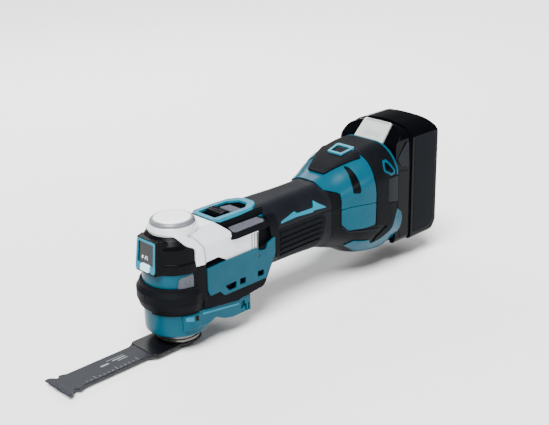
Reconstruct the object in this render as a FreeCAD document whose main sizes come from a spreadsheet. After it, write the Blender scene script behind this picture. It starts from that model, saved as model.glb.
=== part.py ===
import FreeCAD, Part
import Sketcher
import math
import os

from FreeCAD import Placement, Rotation, Vector

# Cordless oscillating multi tool, millimetres, +Z up.
# The origin is on the spindle axis where the blade seats.  +X runs back from the nose to the
# battery and +Y to the tool's right-hand side.

DIMENSIONS = {
    # head, around the vertical spindle
    "head_radius": 27.8,
    "head_bore": 24.5,
    "head_low": 4.0,
    "ring_low": 30.0,
    "ring_high": 52.0,
    "ring_radius": 33.5,
    "gear_top": 66.0,
    "cover_top": 98.0,
    "cap_radius": 16.3,
    "cap_high": 108.0,
    "collar_radius": 20.0,
    "collar_high": 3.5,
    "spindle_radius": 8.0,
    "plunger_radius": 3.3,
    "release_travel": 2.5,
    # tool-less clamp lever
    "pivot_high": 94.0,
    "lever_half": 29.0,
    "lever_skin": 2.5,
    "lever_front": 9.1,
    "lever_rear": 70.0,
    "lever_low": 66.5,
    "pad_rear": 81.0,
    "pad_half": 36.0,
    "pad_low": 82.0,
    "pad_high": 88.0,
    # front housing around the motor
    "body_front": 9.0,
    "body_rear": 88.0,
    "body_half": 30.0,
    "body_low": 27.0,
    "body_top": 97.0,
    "shelf_half": 26.2,
    "ridge_half": 16.6,
    "skin": 2.5,
    "panel_thick": 1.2,
    # motor, on a horizontal axis
    "motor_high": 62.0,
    "stator_radius": 22.0,
    "rotor_radius": 13.5,
    "shaft_radius": 3.0,
    "eccentricity": 1.0,
    # grip and rear housing
    "seam_high": 74.0,
    "grip_end": 162.0,
    "bulb_end": 243.0,
    # battery pack
    "pack_front": 245.4,
    "pack_split": 265.5,
    "pack_rear": 307.0,
    "pack_low": 16.0,
    "pack_high": 134.0,
    "pack_half": 37.5,
    "cell_radius": 9.0,
    "cell_length": 65.0,
    "cell_pitch": 18.7,
    # blade
    "blade_thick": 1.2,
    "blade_tip": -125.0,
    "blade_bend": -39.5,
    "mount_half": 17.0,
    "mount_thick": 2.3,
}

doc = FreeCAD.newDocument("oscillating_multi_tool")
sheet = doc.addObject("Spreadsheet::Sheet", "dims")
for row, (alias, amount) in enumerate(DIMENSIONS.items(), start=1):
    sheet.set(f"A{row}", alias)
    sheet.set(f"B{row}", str(amount))
    sheet.setAlias(f"B{row}", alias)
doc.recompute()


class Size:
    """A length that carries its value and the spreadsheet expression it comes from."""

    def __init__(self, value, text):
        self.value = value
        self.text = text

    def joined(self, first, sign, second, value):
        return Size(value, f"({worded(first)} {sign} {worded(second)})")

    def __add__(self, other):
        return self.joined(self, "+", other, self.value + plain(other))

    def __radd__(self, other):
        return self.joined(other, "+", self, plain(other) + self.value)

    def __sub__(self, other):
        return self.joined(self, "-", other, self.value - plain(other))

    def __rsub__(self, other):
        return self.joined(other, "-", self, plain(other) - self.value)

    def __mul__(self, other):
        return self.joined(self, "*", other, self.value * plain(other))

    __rmul__ = __mul__

    def __truediv__(self, other):
        return self.joined(self, "/", other, self.value / plain(other))

    def __neg__(self):
        return Size(-self.value, f"(0 - {self.text})")


def plain(size):
    return size.value if isinstance(size, Size) else float(size)


def worded(size):
    return size.text if isinstance(size, Size) else f"({float(size)!r})"


def cell(alias):
    return Size(float(sheet.get(alias)), f"dims.{alias}")


head_radius = cell("head_radius")
head_bore = cell("head_bore")
head_low = cell("head_low")
ring_low = cell("ring_low")
ring_high = cell("ring_high")
ring_radius = cell("ring_radius")
gear_top = cell("gear_top")
cover_top = cell("cover_top")
cap_radius = cell("cap_radius")
cap_high = cell("cap_high")
collar_radius = cell("collar_radius")
collar_high = cell("collar_high")
spindle_radius = cell("spindle_radius")
plunger_radius = cell("plunger_radius")
release_travel = cell("release_travel")
pivot_high = cell("pivot_high")
lever_half = cell("lever_half")
lever_skin = cell("lever_skin")
lever_front = cell("lever_front")
lever_rear = cell("lever_rear")
lever_low = cell("lever_low")
pad_rear = cell("pad_rear")
pad_half = cell("pad_half")
pad_low = cell("pad_low")
pad_high = cell("pad_high")
body_front = cell("body_front")
body_rear = cell("body_rear")
body_half = cell("body_half")
body_low = cell("body_low")
body_top = cell("body_top")
shelf_half = cell("shelf_half")
ridge_half = cell("ridge_half")
skin = cell("skin")
panel_thick = cell("panel_thick")
motor_high = cell("motor_high")
stator_radius = cell("stator_radius")
rotor_radius = cell("rotor_radius")
shaft_radius = cell("shaft_radius")
eccentricity = cell("eccentricity")
seam_high = cell("seam_high")
grip_end = cell("grip_end")
bulb_end = cell("bulb_end")
pack_front = cell("pack_front")
pack_split = cell("pack_split")
pack_rear = cell("pack_rear")
pack_low = cell("pack_low")
pack_high = cell("pack_high")
pack_half = cell("pack_half")
cell_radius = cell("cell_radius")
cell_length = cell("cell_length")
cell_pitch = cell("cell_pitch")
blade_thick = cell("blade_thick")
blade_tip = cell("blade_tip")
blade_bend = cell("blade_bend")
mount_half = cell("mount_half")
mount_thick = cell("mount_thick")

TURNED = {
    "Z": Rotation(),
    "X": Rotation(Vector(0, 1, 0), 90),
    "Y": Rotation(Vector(1, 0, 0), -90),
}
NODES = []
SIDES = (-1, 1)


def bind(thing, prop, size):
    """Give a property its value, and tie it to the spreadsheet when the size comes from there."""
    if isinstance(size, Size):
        thing.setExpression(prop, size.text)
    else:
        setattr(thing, prop, size)


def place(thing, x=0, y=0, z=0, turn=None):
    thing.Placement = Placement(Vector(plain(x), plain(y), plain(z)), turn or Rotation())
    for letter, size in (("x", x), ("y", y), ("z", z)):
        if isinstance(size, Size):
            thing.setExpression(f"Placement.Base.{letter}", size.text)
    return thing


def node(name, thing):
    """Name a finished sub-part after the file that it is written to."""
    thing.Label = name
    NODES.append((name, thing))
    return thing


# ---------------------------------------------------------------- primitives and booleans


def box(x, y, z):
    """A block between two corners, each axis given as (low, high)."""
    block = doc.addObject("Part::Box", "block")
    for prop, (low, high) in (("Length", x), ("Width", y), ("Height", z)):
        bind(block, prop, high - low)
    return place(block, x[0], y[0], z[0])


def rod(radius, start, length, axis="Z", at=(0, 0)):
    """A round bar; at gives its centre on the other two axes, in X, Y, Z order."""
    bar = doc.addObject("Part::Cylinder", "bar")
    bind(bar, "Radius", radius)
    bind(bar, "Height", length)
    spots = {"Z": (at[0], at[1], start), "X": (start, at[0], at[1]), "Y": (at[0], start, at[1])}
    return place(bar, *spots[axis], TURNED[axis])


def cut(base, *tools):
    for tool in tools:
        trimmed = doc.addObject("Part::Cut", "trimmed")
        trimmed.Base = base
        trimmed.Tool = tool
        base = trimmed
    return base


def fuse(*shapes):
    joined = doc.addObject("Part::MultiFuse", "joined")
    joined.Shapes = list(shapes)
    return joined


def group(*shapes):
    """Separate identical pieces that share one node."""
    several = doc.addObject("Part::Compound", "several")
    several.Links = list(shapes)
    return several


def tube(outer, inner, start, length, axis="Z", at=(0, 0)):
    hole = rod(inner, start, length, axis, at)
    return cut(rod(outer, start, length, axis, at), hole)


# ---------------------------------------------------------------- sketched bodies


def sketch_on(body, role, offset=0):
    sketch = body.newObject("Sketcher::SketchObject", f"{body.Name}_sketch")
    plane = next(item for item in body.Origin.OriginFeatures if item.Role == role)
    sketch.AttachmentSupport = (plane, [""])
    sketch.MapMode = "FlatFace"
    sketch.AttachmentOffset = Placement(Vector(0, 0, plain(offset)), Rotation())
    if isinstance(offset, Size):
        sketch.setExpression("AttachmentOffset.Base.z", offset.text)
    return sketch


def pin_down(sketch, edge, end, spot):
    """Fix one point of a sketch at a pair of coordinates."""
    for axis, kind, size in ((-2, "DistanceX", spot[0]), (-1, "DistanceY", spot[1])):
        if plain(size) == 0:
            sketch.addConstraint(Sketcher.Constraint("PointOnObject", edge, end, axis))
            continue
        rule = sketch.addConstraint(Sketcher.Constraint(kind, -1, 1, edge, end, plain(size)))
        if isinstance(size, Size):
            sketch.setExpression(f"Constraints[{rule}]", size.text)


def draw_polygon(sketch, corners):
    first = sketch.GeometryCount
    spots = [Vector(plain(across), plain(up), 0) for across, up in corners]
    for start, end in zip(spots, spots[1:] + spots[:1]):
        sketch.addGeometry(Part.LineSegment(start, end), False)
    count = len(corners)
    for step, corner in enumerate(corners):
        following = first + (step + 1) % count
        sketch.addConstraint(Sketcher.Constraint("Coincident", first + step, 2, following, 1))
        pin_down(sketch, first + step, 1, corner)


def draw_circle(sketch, centre, radius):
    spot = Vector(plain(centre[0]), plain(centre[1]), 0)
    edge = sketch.addGeometry(Part.Circle(spot, Vector(0, 0, 1), plain(radius)), False)
    pin_down(sketch, edge, 3, centre)
    rule = sketch.addConstraint(Sketcher.Constraint("Radius", edge, plain(radius)))
    if isinstance(radius, Size):
        sketch.setExpression(f"Constraints[{rule}]", radius.text)


def padded(name, role, corners, length, offset=0, symmetric=False):
    """An outline drawn on an origin plane and padded."""
    body = doc.addObject("PartDesign::Body", name)
    sketch = sketch_on(body, role, offset)
    draw_polygon(sketch, corners)
    pad = body.newObject("PartDesign::Pad", f"{name}_pad")
    pad.Profile = sketch
    bind(pad, "Length", length)
    pad.SideType = "Symmetric" if symmetric else "One side"
    sketch.Visibility = False
    return body


def across(name, corners, half):
    """A side outline (X, Z) padded equally to both sides of the tool."""
    return padded(name, "XZ_Plane", corners, half * 2, symmetric=True)


def along(name, corners, start, length):
    """A front outline (Y, Z) padded backwards."""
    return padded(name, "YZ_Plane", corners, length, offset=start)


def upward(name, corners, start, length):
    """A top outline (X, Y) padded upwards."""
    return padded(name, "XY_Plane", corners, length, offset=start)


def turned(name, corners, axis="V_Axis"):
    """A half section (across, up) turned about the vertical or the horizontal sketch axis."""
    body = doc.addObject("PartDesign::Body", name)
    sketch = sketch_on(body, "XZ_Plane")
    draw_polygon(sketch, corners)
    turn = body.newObject("PartDesign::Revolution", f"{name}_turn")
    turn.Profile = sketch
    turn.ReferenceAxis = (sketch, [axis])
    turn.Angle = 360
    sketch.Visibility = False
    return body


# ---------------------------------------------------------------- gear housing and head


def gear_housing():
    bearing_bore = 15
    seal_bore = 12.5
    floor = 20
    shell = turned(
        "gear_shell",
        [
            (seal_bore, head_low),
            (22.5, head_low),
            (25.7, head_low + 4),
            (27.4, head_low + 9),
            (head_radius, head_low + 14),
            (head_radius, gear_top),
            (head_bore, gear_top),
            (head_bore, floor),
            (bearing_bore, floor),
            (bearing_bore, 8),
            (seal_bore, 8),
        ],
    )
    bosses = [rod(3.4, 40, 22, at=spot) for spot in screw_circle()]
    holes = [rod(1.55, 39, 24, at=spot) for spot in screw_circle()]
    drive_opening = box((14, 30), (-19, 19), (38, 70))
    node("gear_housing", cut(fuse(shell, *bosses), drive_opening, *holes))


def screw_circle():
    reach = 21.6
    for angle in (75, 135, 225, 285):
        turn = math.radians(angle)
        yield reach * math.cos(turn), reach * math.sin(turn)


def bearing_cap():
    plate = cut(rod(head_bore, 62, gear_top - 62), rod(11, 61, 6))
    fork_room = box((13, 30), (-18, 18), (60, 70))
    holes = [rod(1.55, 60, 8, at=spot) for spot in screw_circle()]
    node("bearing_cap", cut(plate, fork_room, *holes))


def cap_screws():
    screws = []
    for spot in screw_circle():
        screws.append(fuse(rod(1.5, 50, gear_top - 50, at=spot), rod(2.7, gear_top, 2.4, at=spot)))
    node("cap_screws", group(*screws))


def head_bearings():
    running_fit = 0.05
    node("upper_bearing", tube(11, 6 + running_fit, 62, 6))
    node("lower_bearing", tube(15, spindle_radius + running_fit, 8, 10))
    node("dust_seal", tube(12.5, 8.4, head_low + 0.6, 3.4))


def bumper_ring():
    ring = turned(
        "bumper_section",
        [
            (head_radius, ring_low),
            (28.8, ring_low),
            (ring_radius, ring_low + 10),
            (ring_radius, ring_high - 4),
            (28.8, ring_high),
            (head_radius, ring_high),
        ],
    )
    node("bumper_ring", cut(ring, box((body_front - 0.3, 40), (-40, 40), (20, 60))))


def ear_slots(low, high, front=-8):
    """Room at both sides of the head top for the lever's ears."""
    return [
        box((front, 10), (19.7, 22.7), (low, high)),
        box((front, 10), (-22.7, -19.7), (low, high)),
    ]


def head_cover():
    shell = turned(
        "cover_shell",
        [
            (head_bore, gear_top),
            (27.7, gear_top),
            (27.7, 88),
            (25.5, 93),
            (22, cover_top),
            (16.5, cover_top),
            (16.5, cover_top - 1),
            (19.5, cover_top - 1),
            (22.8, 92),
            (head_bore, 87),
        ],
    )
    rear = box((5.2, 40), (-40, 40), (60, 110))
    node("head_cover", cut(shell, rear, *ear_slots(86, 101)))


def head_top():
    """The silver cap on the spindle axis, its stepped ring and the bezel in front of the lever."""
    node("cap_ring", tube(19.6, 13, cover_top, 4))
    cap = turned(
        "cap_section",
        [
            (0, cap_high),
            (cap_radius - 1, cap_high),
            (cap_radius, cap_high - 1),
            (cap_radius, cover_top + 4),
            (13, cover_top + 4),
            (13, cap_high - 2),
            (0, cap_high - 2),
        ],
    )
    node("top_cap", cap)
    flange = tube(21.8, 19.6, cover_top, 1.5)
    legs = []
    for side in SIDES:
        edge = lever_half - 0.3
        leg = [(17.4, 68.7), (edge, 68.7), (edge, pad_high - 1.1), (17.4, 94.2)]
        legs.append(along(f"bezel_leg_{side + 1}", [(y * side, z) for y, z in leg], 5.4, 3.2))
        wide = (17.4, 19.7) if side > 0 else (-19.7, -17.4)
        legs.append(box((5.4, 8.6), wide, (85, cover_top + 1.5)))
    bezel = cut(fuse(*legs), rod(19.6, cover_top, 5))
    node("lever_bezel", cut(fuse(bezel, flange), *ear_slots(86, 101)))


def saddle_outline(inset, low=68):
    """The lever's cross-section (Y, Z), drawn in from its outer face by inset."""
    side = lever_half - inset
    shoulder = pad_high - 1 - 0.7 * inset
    crown = cover_top - inset
    flat = 12 - 0.4 * inset
    return [
        (-side, low),
        (side, low),
        (side, shoulder),
        (flat, crown),
        (-flat, crown),
        (-side, shoulder),
    ]


def lever_bracket():
    """Carries the lever's pivot pin above the bearing cap."""
    base = cut(box((-12.2, 12.2), (-17, 17), (gear_top, gear_top + 3)), rod(11.2, 60, 20))
    ears = [box((-5.2, 5.2), (low, low + 4), (gear_top + 3, pivot_high + 2.8)) for low in (-17, 13)]
    bore = rod(2.56, -20, 40, "Y", at=(0, pivot_high))
    node("lever_bracket", cut(fuse(base, *ears), bore))


def lamp():
    """The work light in front of the head: its block, frame, dark window and lens."""
    front = -31
    block = cut(box((front, -20), (-15, 15), (67, 97)), rod(head_radius, 60, 40))
    node("led_housing", block)
    frame = box((front - 1.5, front), (-13.5, 13.5), (69, 95))
    window = box((front - 2, front + 1), (-11, 11), (75.5, 93))
    lens_room = box((front - 2, front + 1), (-6.3, 6.3), (68, 74.5))
    node("led_bezel", cut(frame, window, lens_room))
    node("led_window", box((front - 0.8, front), (-11, 11), (75.5, 93)))
    node("led_lens", box((front - 2.2, front), (-6.3, 6.3), (68, 74.5)))


def lower_brace():
    """The gear housing's foot under the front housing, open underneath."""
    outline = [(14, 15), (47, 11), (58.6, 9.5), (59.1, 26.4), (14, 26.4)]
    shell = across("brace_outline", outline, 26)
    cavity = box((10, 54), (-22, 22), (0, 22))
    node("lower_brace", cut(shell, rod(head_radius, 0, 40), cavity))


# ---------------------------------------------------------------- front housing


def front_housing():
    outline = [
        (body_front, 31),
        (26, body_low + 0.5),
        (54, body_low),
        (75, body_low + 2),
        (body_rear, 52),
        (body_rear, body_top),
        (30, body_top),
        (30, body_top - 2),
        (body_front, body_top - 2),
    ]
    block = across("front_outline", outline, body_half)
    low_room = [(5, 33.5), (26, 30), (54, 29.5), (73.5, 31.5), (85.5, 53), (85.5, 63.5), (5, 63.5)]
    rooms = [
        across("motor_room", low_room, body_half - skin),
        box((5, 85.5), (-24, 24), (60, 79.2)),
        box((5, 85.5), (-14.2, 14.2), (79, 92.5)),
        rod(head_radius + 0.1, 15, gear_top + 0.2 - 15),
        box((80, 95), (-12, 12), (60, 90)),
    ]
    outside = []
    for side in SIDES:
        far = (30, 45) if side > 0 else (-45, -30)
        near = (shelf_half, 45) if side > 0 else (-45, -shelf_half)
        ridge = (ridge_half, 45) if side > 0 else (-45, -ridge_half)
        outside.append(box((5, 82.5), near, (66, 110)))
        outside.append(box((35, 82.5), ridge, (pad_low - 0.4, 110)))
        outside += [box(x, far_skin(side), z) for x, z in VENTS]
    facets = [
        along("facet_right", [(11, 95), (26.2, 85), (35, 85), (35, 100), (11, 100)], 5, 30.1),
        along("facet_left", [(-11, 95), (-26.2, 85), (-35, 85), (-35, 100), (-11, 100)], 5, 30.1),
    ]
    knob_slot = box((36, 75), (-9, 9), (92, 99))
    node("front_housing", cut(block, *rooms, *outside, *facets, knob_slot))


VENTS = [((32, 42), (39.7, 45)), ((45.5, 52), (40.1, 45.3)), ((66.1, 74.6), (40.3, 45.8))]


def far_skin(side):
    """The side wall's span in Y, with room to spare on both faces."""
    return (25, 35) if side > 0 else (-35, -25)


def side_panels():
    outline = [
        (9.5, 46),
        (11.9, 41.1),
        (22.2, 41.5),
        (27.8, 36.3),
        (76.5, 36.5),
        (87.6, 56),
        (87.8, 72),
        (82.8, 69),
        (78.8, 66.5),
        (76.6, 63.2),
        (68.7, 64.1),
        (67.1, 65.6),
        (9.5, 65.6),
    ]
    for side, name in ((-1, "side_panel_left"), (1, "side_panel_right")):
        start = body_half + panel_thick if side > 0 else -body_half
        panel = padded(f"{name}_outline", "XZ_Plane", outline, panel_thick, offset=-start)
        holes = [box(x, far_skin(side), z) for x, z in VENTS]
        node(name, cut(panel, *holes))


def switch():
    base = [(34, -15), (76, -14), (82, -10), (82, 10), (76, 14), (34, 15)]
    frame = upward("switch_outline", base, body_top, 1.4)
    node("switch_frame", cut(frame, box((36, 75), (-9, 9), (90, 105))))
    slide = [(42, 94), (72, 94), (72, 97.4), (55, 99), (53, 101.6), (44, 101.6), (42, 99)]
    node("switch_knob", across("knob_outline", slide, 8.6))
    node("switch_unit", box((45, 70), (-8, 8), (84.6, 92)))


# ---------------------------------------------------------------- clamp lever


def lock_lever():
    saddle = along("saddle_section", saddle_outline(0, low=lever_low), lever_front, 25.8)
    hollow = along("saddle_hollow", saddle_outline(lever_skin, low=60), 5, 31)
    cheek_outline = [
        (lever_front, 67.5),
        (23.7, 67.5),
        (33.7, lever_low),
        (lever_rear, lever_low),
        (lever_rear, pad_low),
        (lever_front, pad_low),
    ]
    cheeks = across("cheek_outline", cheek_outline, lever_half)
    between = across("cheek_gap", [(0, 60), (90, 60), (90, 90), (0, 90)], lever_half - lever_skin)
    notch = across("cheek_notch", [(22, 60), (35, 60), (35, 66), (28, 72), (24, 72)], 40)
    rear_edge = [(28.5, 0), (28.5, 12), (35, 22), (50, 22), (50, 0)]
    rear_trim = [
        upward("rear_trim_right", rear_edge, 84, 30),
        upward("rear_trim_left", [(x, -y) for x, y in rear_edge], 84, 30),
    ]
    ears = []
    for low in (-22.4, 20):
        arm = box((0, 14), (low, low + 2.4), (89.4, 92.2))
        boss = rod(5.8, low, 2.4, "Y", at=(0, pivot_high))
        ears += [arm, boss]
    bore = rod(2.5, -30, 60, "Y", at=(0, pivot_high))
    cap_room = rod(23.2, 60, 60)
    shell = cut(saddle, hollow, *rear_trim)
    sides = cut(cheeks, between)
    node("lock_lever", cut(fuse(cut(fuse(shell, sides), notch, cap_room), *ears), bore))


def lever_pads():
    pads = []
    for side in SIDES:
        wide = (17, pad_half) if side > 0 else (-pad_half, -17)
        gap = (15, 24.5) if side > 0 else (-24.5, -15)
        block = box((35, pad_rear), wide, (pad_low, pad_high))
        pads.append(cut(block, box((76, 90), gap, (80, 90))))
    node("lever_pads", group(*pads))


def lever_pin():
    node("lever_pin", rod(2.5, -22.4, 44.8, "Y", at=(0, pivot_high)))


def release_cam():
    """An arc of steadily growing radius that pushes the plunger down as the lever opens."""
    base = 7
    growth = release_travel.value / 100
    high = pivot_high.value
    corners = []
    for angle in range(0, 360, 10):
        reach = base + growth * min(angle, 100)
        if angle > 100:
            reach = base + growth * 100 * (360 - angle) / 260
        turn = math.radians(angle)
        corners.append((-reach * math.sin(turn), high - reach * math.cos(turn)))
    cam = across("cam_outline", corners, 6)
    node("release_cam", cut(cam, rod(2.5, -10, 20, "Y", at=(0, pivot_high))))


# ---------------------------------------------------------------- spindle and clamp


def spindle():
    bore = 3.65
    shaft = turned(
        "spindle_section",
        [
            (bore, collar_high),
            (spindle_radius, collar_high),
            (spindle_radius, 60),
            (6, 60),
            (6, 72),
            (bore, 72),
        ],
    )
    node("spindle", shaft)
    collar = tube(collar_radius, bore, 0, collar_high)
    star = upward("star_outline", star_corners(12.1, 13.2), -4.5, 4.5)
    node("tool_holder", fuse(collar, cut(star, rod(bore, -6, 8))))
    fork_outline = [(-2, 50), (29, 50), (29, 70), (17, 70), (17, 58), (-2, 58)]
    fork = across("fork_outline", fork_outline, 14.6)
    hub = rod(14.6, 50, 8)
    throat = box((16, 40), (-10.8, 10.8), (40, 80))
    rear_hub = box((-10, 16), (-20, 20), (58, 80))
    node("swing_arm", cut(fuse(hub, fork), throat, rear_hub, rod(spindle_radius, 40, 30)))


def star_corners(inner, outer, points=12):
    corners = []
    for step in range(2 * points):
        reach = outer if step % 2 == 0 else inner
        turn = math.pi * step / points
        corners.append((reach * math.cos(turn), reach * math.sin(turn)))
    return corners


def clamp():
    stem = rod(plunger_radius, -6.5, 80 + 6.5)
    node("clamp_plunger", fuse(stem, rod(7, 80, pivot_high - 7.5 - 80)))
    claws = []
    for side in SIDES:
        reach = (plunger_radius, 9.5) if side > 0 else (-9.5, -plunger_radius)
        claws.append(cut(box(reach, (-3, 3), (-6.5, -4.7)), rod(plunger_radius, -10, 10)))
    node("clamp_claws", group(*claws))
    coil = doc.addObject("PartDesign::Body", "coil")
    wire = sketch_on(coil, "XZ_Plane")
    draw_circle(wire, (5.2, 73), 0.55)
    wind = coil.newObject("PartDesign::AdditiveHelix", "coil_wind")
    wind.Profile = wire
    wind.ReferenceAxis = (wire, ["V_Axis"])
    wind.Mode = "pitch-height-angle"
    wind.Pitch = 1.9
    wind.Height = 5.9
    node("plunger_spring", coil)


# ---------------------------------------------------------------- motor


def motor():
    axis = (0, motor_high)
    node("motor_bracket", tube(stator_radius, 8, 35, 4, "X", axis))
    node("motor_end_plate", tube(stator_radius, 8, 73, 4, "X", axis))
    node("stator", tube(stator_radius, 14.1, 42, 30, "X", axis))
    bearings = [tube(8, shaft_radius + 0.05, start, 5, "X", axis) for start in (34.5, 72.5)]
    node("motor_bearings", group(*bearings))
    pin_axis = (0, motor_high + eccentricity)
    shaft = rod(shaft_radius, 28, 54.5, "X", axis)
    pin = rod(shaft_radius - 0.5, 19, 9, "X", pin_axis)
    node("rotor_shaft", fuse(shaft, pin))
    node("eccentric_bearing", tube(8, shaft_radius - 0.5, 20, 7, "X", pin_axis))
    node("rotor_core", tube(rotor_radius, shaft_radius, 43, 28, "X", axis))
    weight = cut(tube(10, shaft_radius, 29.5, 3.5, "X", axis), box((25, 35), (-20, 20), (63, 90)))
    node("counterweight", weight)
    hub = tube(6, shaft_radius, 77.8, 4, "X", axis)
    vanes = []
    count = 11
    for step in range(count):
        vane = box((77.8, 81.6), (-0.6, 0.6), (5.5, 15))
        turn = Rotation(Vector(1, 0, 0), 360 * step / count)
        spot = turn.multVec(Vector(77.8, -0.6, 5.5))
        vane.Placement = Placement(Vector(spot.x, spot.y, spot.z + motor_high.value), turn)
        vanes.append(vane)
    node("fan", fuse(hub, *vanes))


def dampers():
    blocks = []
    for side in SIDES:
        wide = (22.4, 27.4) if side > 0 else (-27.4, -22.4)
        blocks += [box((start, start + 9), wide, (52, 60)) for start in (45, 61)]
    node("vibration_dampers", group(*blocks))


# ---------------------------------------------------------------- grip and rear housing

# Stations along the tool: where, half width, lowest, highest, corner radius below and above.
STATIONS = [
    (body_rear, 27.0, 36.0, 96.0, 22.0, 19.0),
    (grip_end, 27.5, 33.0, 96.5, 24.0, 20.0),
    (185.0, 34.0, 25.0, 103.0, 30.0, 27.0),
    (208.0, 39.3, 13.0, 111.0, 36.0, 34.0),
    (232.0, 40.3, 8.5, 116.3, 37.0, 36.0),
    (bulb_end, 39.8, 11.0, 117.3, 37.0, 36.0),
]


def between(first, second, where):
    """The station part of the way from one to the next."""
    share = (where - plain(first[0])) / (plain(second[0]) - plain(first[0]))
    return tuple(plain(a) + share * (plain(b) - plain(a)) for a, b in zip(first, second))


def half_ring(where, half, seam, far, radius, thick):
    """A closed U-shaped outline in the Y-Z plane, from the seam out to far and back."""
    up = 1 if far > seam else -1

    def leg(width, end, bend):
        middle = end - up * bend
        slant = bend * math.sqrt(0.5)
        right = Part.Arc(
            Vector(where, width, middle),
            Vector(where, width - bend + slant, middle + up * slant),
            Vector(where, width - bend, end),
        )
        left = Part.Arc(
            Vector(where, bend - width, end),
            Vector(where, bend - width - slant, middle + up * slant),
            Vector(where, -width, middle),
        )
        return right, left, Vector(where, width, seam), Vector(where, -width, seam)

    right, left, start, end = leg(half, far, radius)
    in_right, in_left, in_start, in_end = leg(half - thick, far - up * thick, radius - thick)
    path = [
        Part.LineSegment(start, right.StartPoint),
        right,
        Part.LineSegment(right.EndPoint, left.StartPoint),
        left,
        Part.LineSegment(left.EndPoint, end),
        Part.LineSegment(end, in_end),
        Part.LineSegment(in_end, in_left.EndPoint),
        in_left,
        Part.LineSegment(in_left.StartPoint, in_right.EndPoint),
        in_right,
        Part.LineSegment(in_right.StartPoint, in_start),
        Part.LineSegment(in_start, start),
    ]
    return Part.Wire([piece.toShape() for piece in path])


def half_shell(name, stations, upper, thick, grow=0.0):
    """A hollow shell above or below the seam, straight between its stations."""
    sections = []
    seam = seam_high.value
    for count, (where, half, low, high, low_bend, high_bend) in enumerate(stations):
        far = high + grow if upper else low - grow
        bend = (high_bend if upper else low_bend) + grow
        outline = half_ring(plain(where), half + grow, seam, far, bend, thick)
        section = doc.addObject("Part::Feature", f"{name}_section_{count}")
        section.Shape = outline
        sections.append(section)
    loft = doc.addObject("Part::Loft", f"{name}_loft")
    loft.Sections = sections
    loft.Solid = True
    loft.Ruled = True
    return loft


def grip():
    stations = STATIONS[:2]
    node("grip_upper", half_shell("grip_upper", stations, True, skin.value))
    lower = half_shell("grip_lower", stations, False, skin.value)
    bosses = [rod(4.2, 35.6, seam_high - 35.6, at=(spot, 0)) for spot in SCREW_SPOTS]
    holes = [rod(1.6, 20, seam_high - 19, at=(spot, 0)) for spot in SCREW_SPOTS]
    heads = [rod(3.1, 20, 17, at=(spot, 0)) for spot in SCREW_SPOTS]
    node("grip_lower", cut(fuse(lower, *bosses), *holes, *heads))


SCREW_SPOTS = (100, 125, 150)


def housing_screws():
    screws = []
    for spot in SCREW_SPOTS:
        head = rod(3, 35.6, 1.3, at=(spot, 0))
        screws.append(fuse(head, rod(1.5, 36.9, seam_high - 39, at=(spot, 0))))
    node("housing_screws", group(*screws))


def rear_housing():
    stations = STATIONS[1:]
    upper = half_shell("rear_upper", stations, True, skin.value)
    dial_seat = box((195, 217), (-14, 14), (107, 125))
    dial_slot = box((196.5, 215.5), (-6, 6), (88, 125))
    node("rear_housing_upper", cut(upper, dial_seat, dial_slot))
    node("rear_housing_lower", half_shell("rear_lower", stations, False, skin.value))
    band = [between(STATIONS[3], STATIONS[4], 218.0), STATIONS[4], STATIONS[5]]
    halves = [half_shell(f"band_{upper}", band, upper, 1.3, 1.4) for upper in (True, False)]
    node("rear_band", fuse(*halves))


def rear_plate():
    """Closes the rear housing and carries the two battery rails."""
    corner = 12
    outline = [
        (-37, 20 + corner),
        (-37 + corner, 20),
        (37 - corner, 20),
        (37, 20 + corner),
        (37, 112 - corner),
        (37 - corner, 112),
        (corner - 37, 112),
        (-37, 112 - corner),
    ]
    plate = along("rear_plate_outline", outline, bulb_end, 2)
    rails = []
    for side in SIDES:
        web = (25, 27) if side > 0 else (-27, -25)
        lip = (25, 29) if side > 0 else (-29, -25)
        rails.append(box((bulb_end + 2, bulb_end + 7), web, (35, 100)))
        rails.append(box((bulb_end + 5, bulb_end + 7), lip, (35, 100)))
    node("rear_plate", fuse(plate, *rails))
    block = box((bulb_end + 2, bulb_end + 8), (-11, 11), (50, 88))
    contacts = []
    for start in (-7, 5.4):
        contacts.append(box((bulb_end + 8, bulb_end + 12), (start, start + 1.6), (55, 83)))
    node("terminal_block", fuse(block, *contacts))


def speed_dial():
    seat = box((195, 217), (-14, 14), (107, 114.4))
    node("dial_frame", cut(seat, box((197.1, 214.9), (-6, 6), (100, 120))))
    wheel = rod(8.5, -5, 10, "Y", at=(206, 106.3))
    node("speed_dial", wheel)


def control_module():
    node("control_module", box((178, 226), (-24, 24), (48, 68)))


# ---------------------------------------------------------------- battery pack


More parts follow.
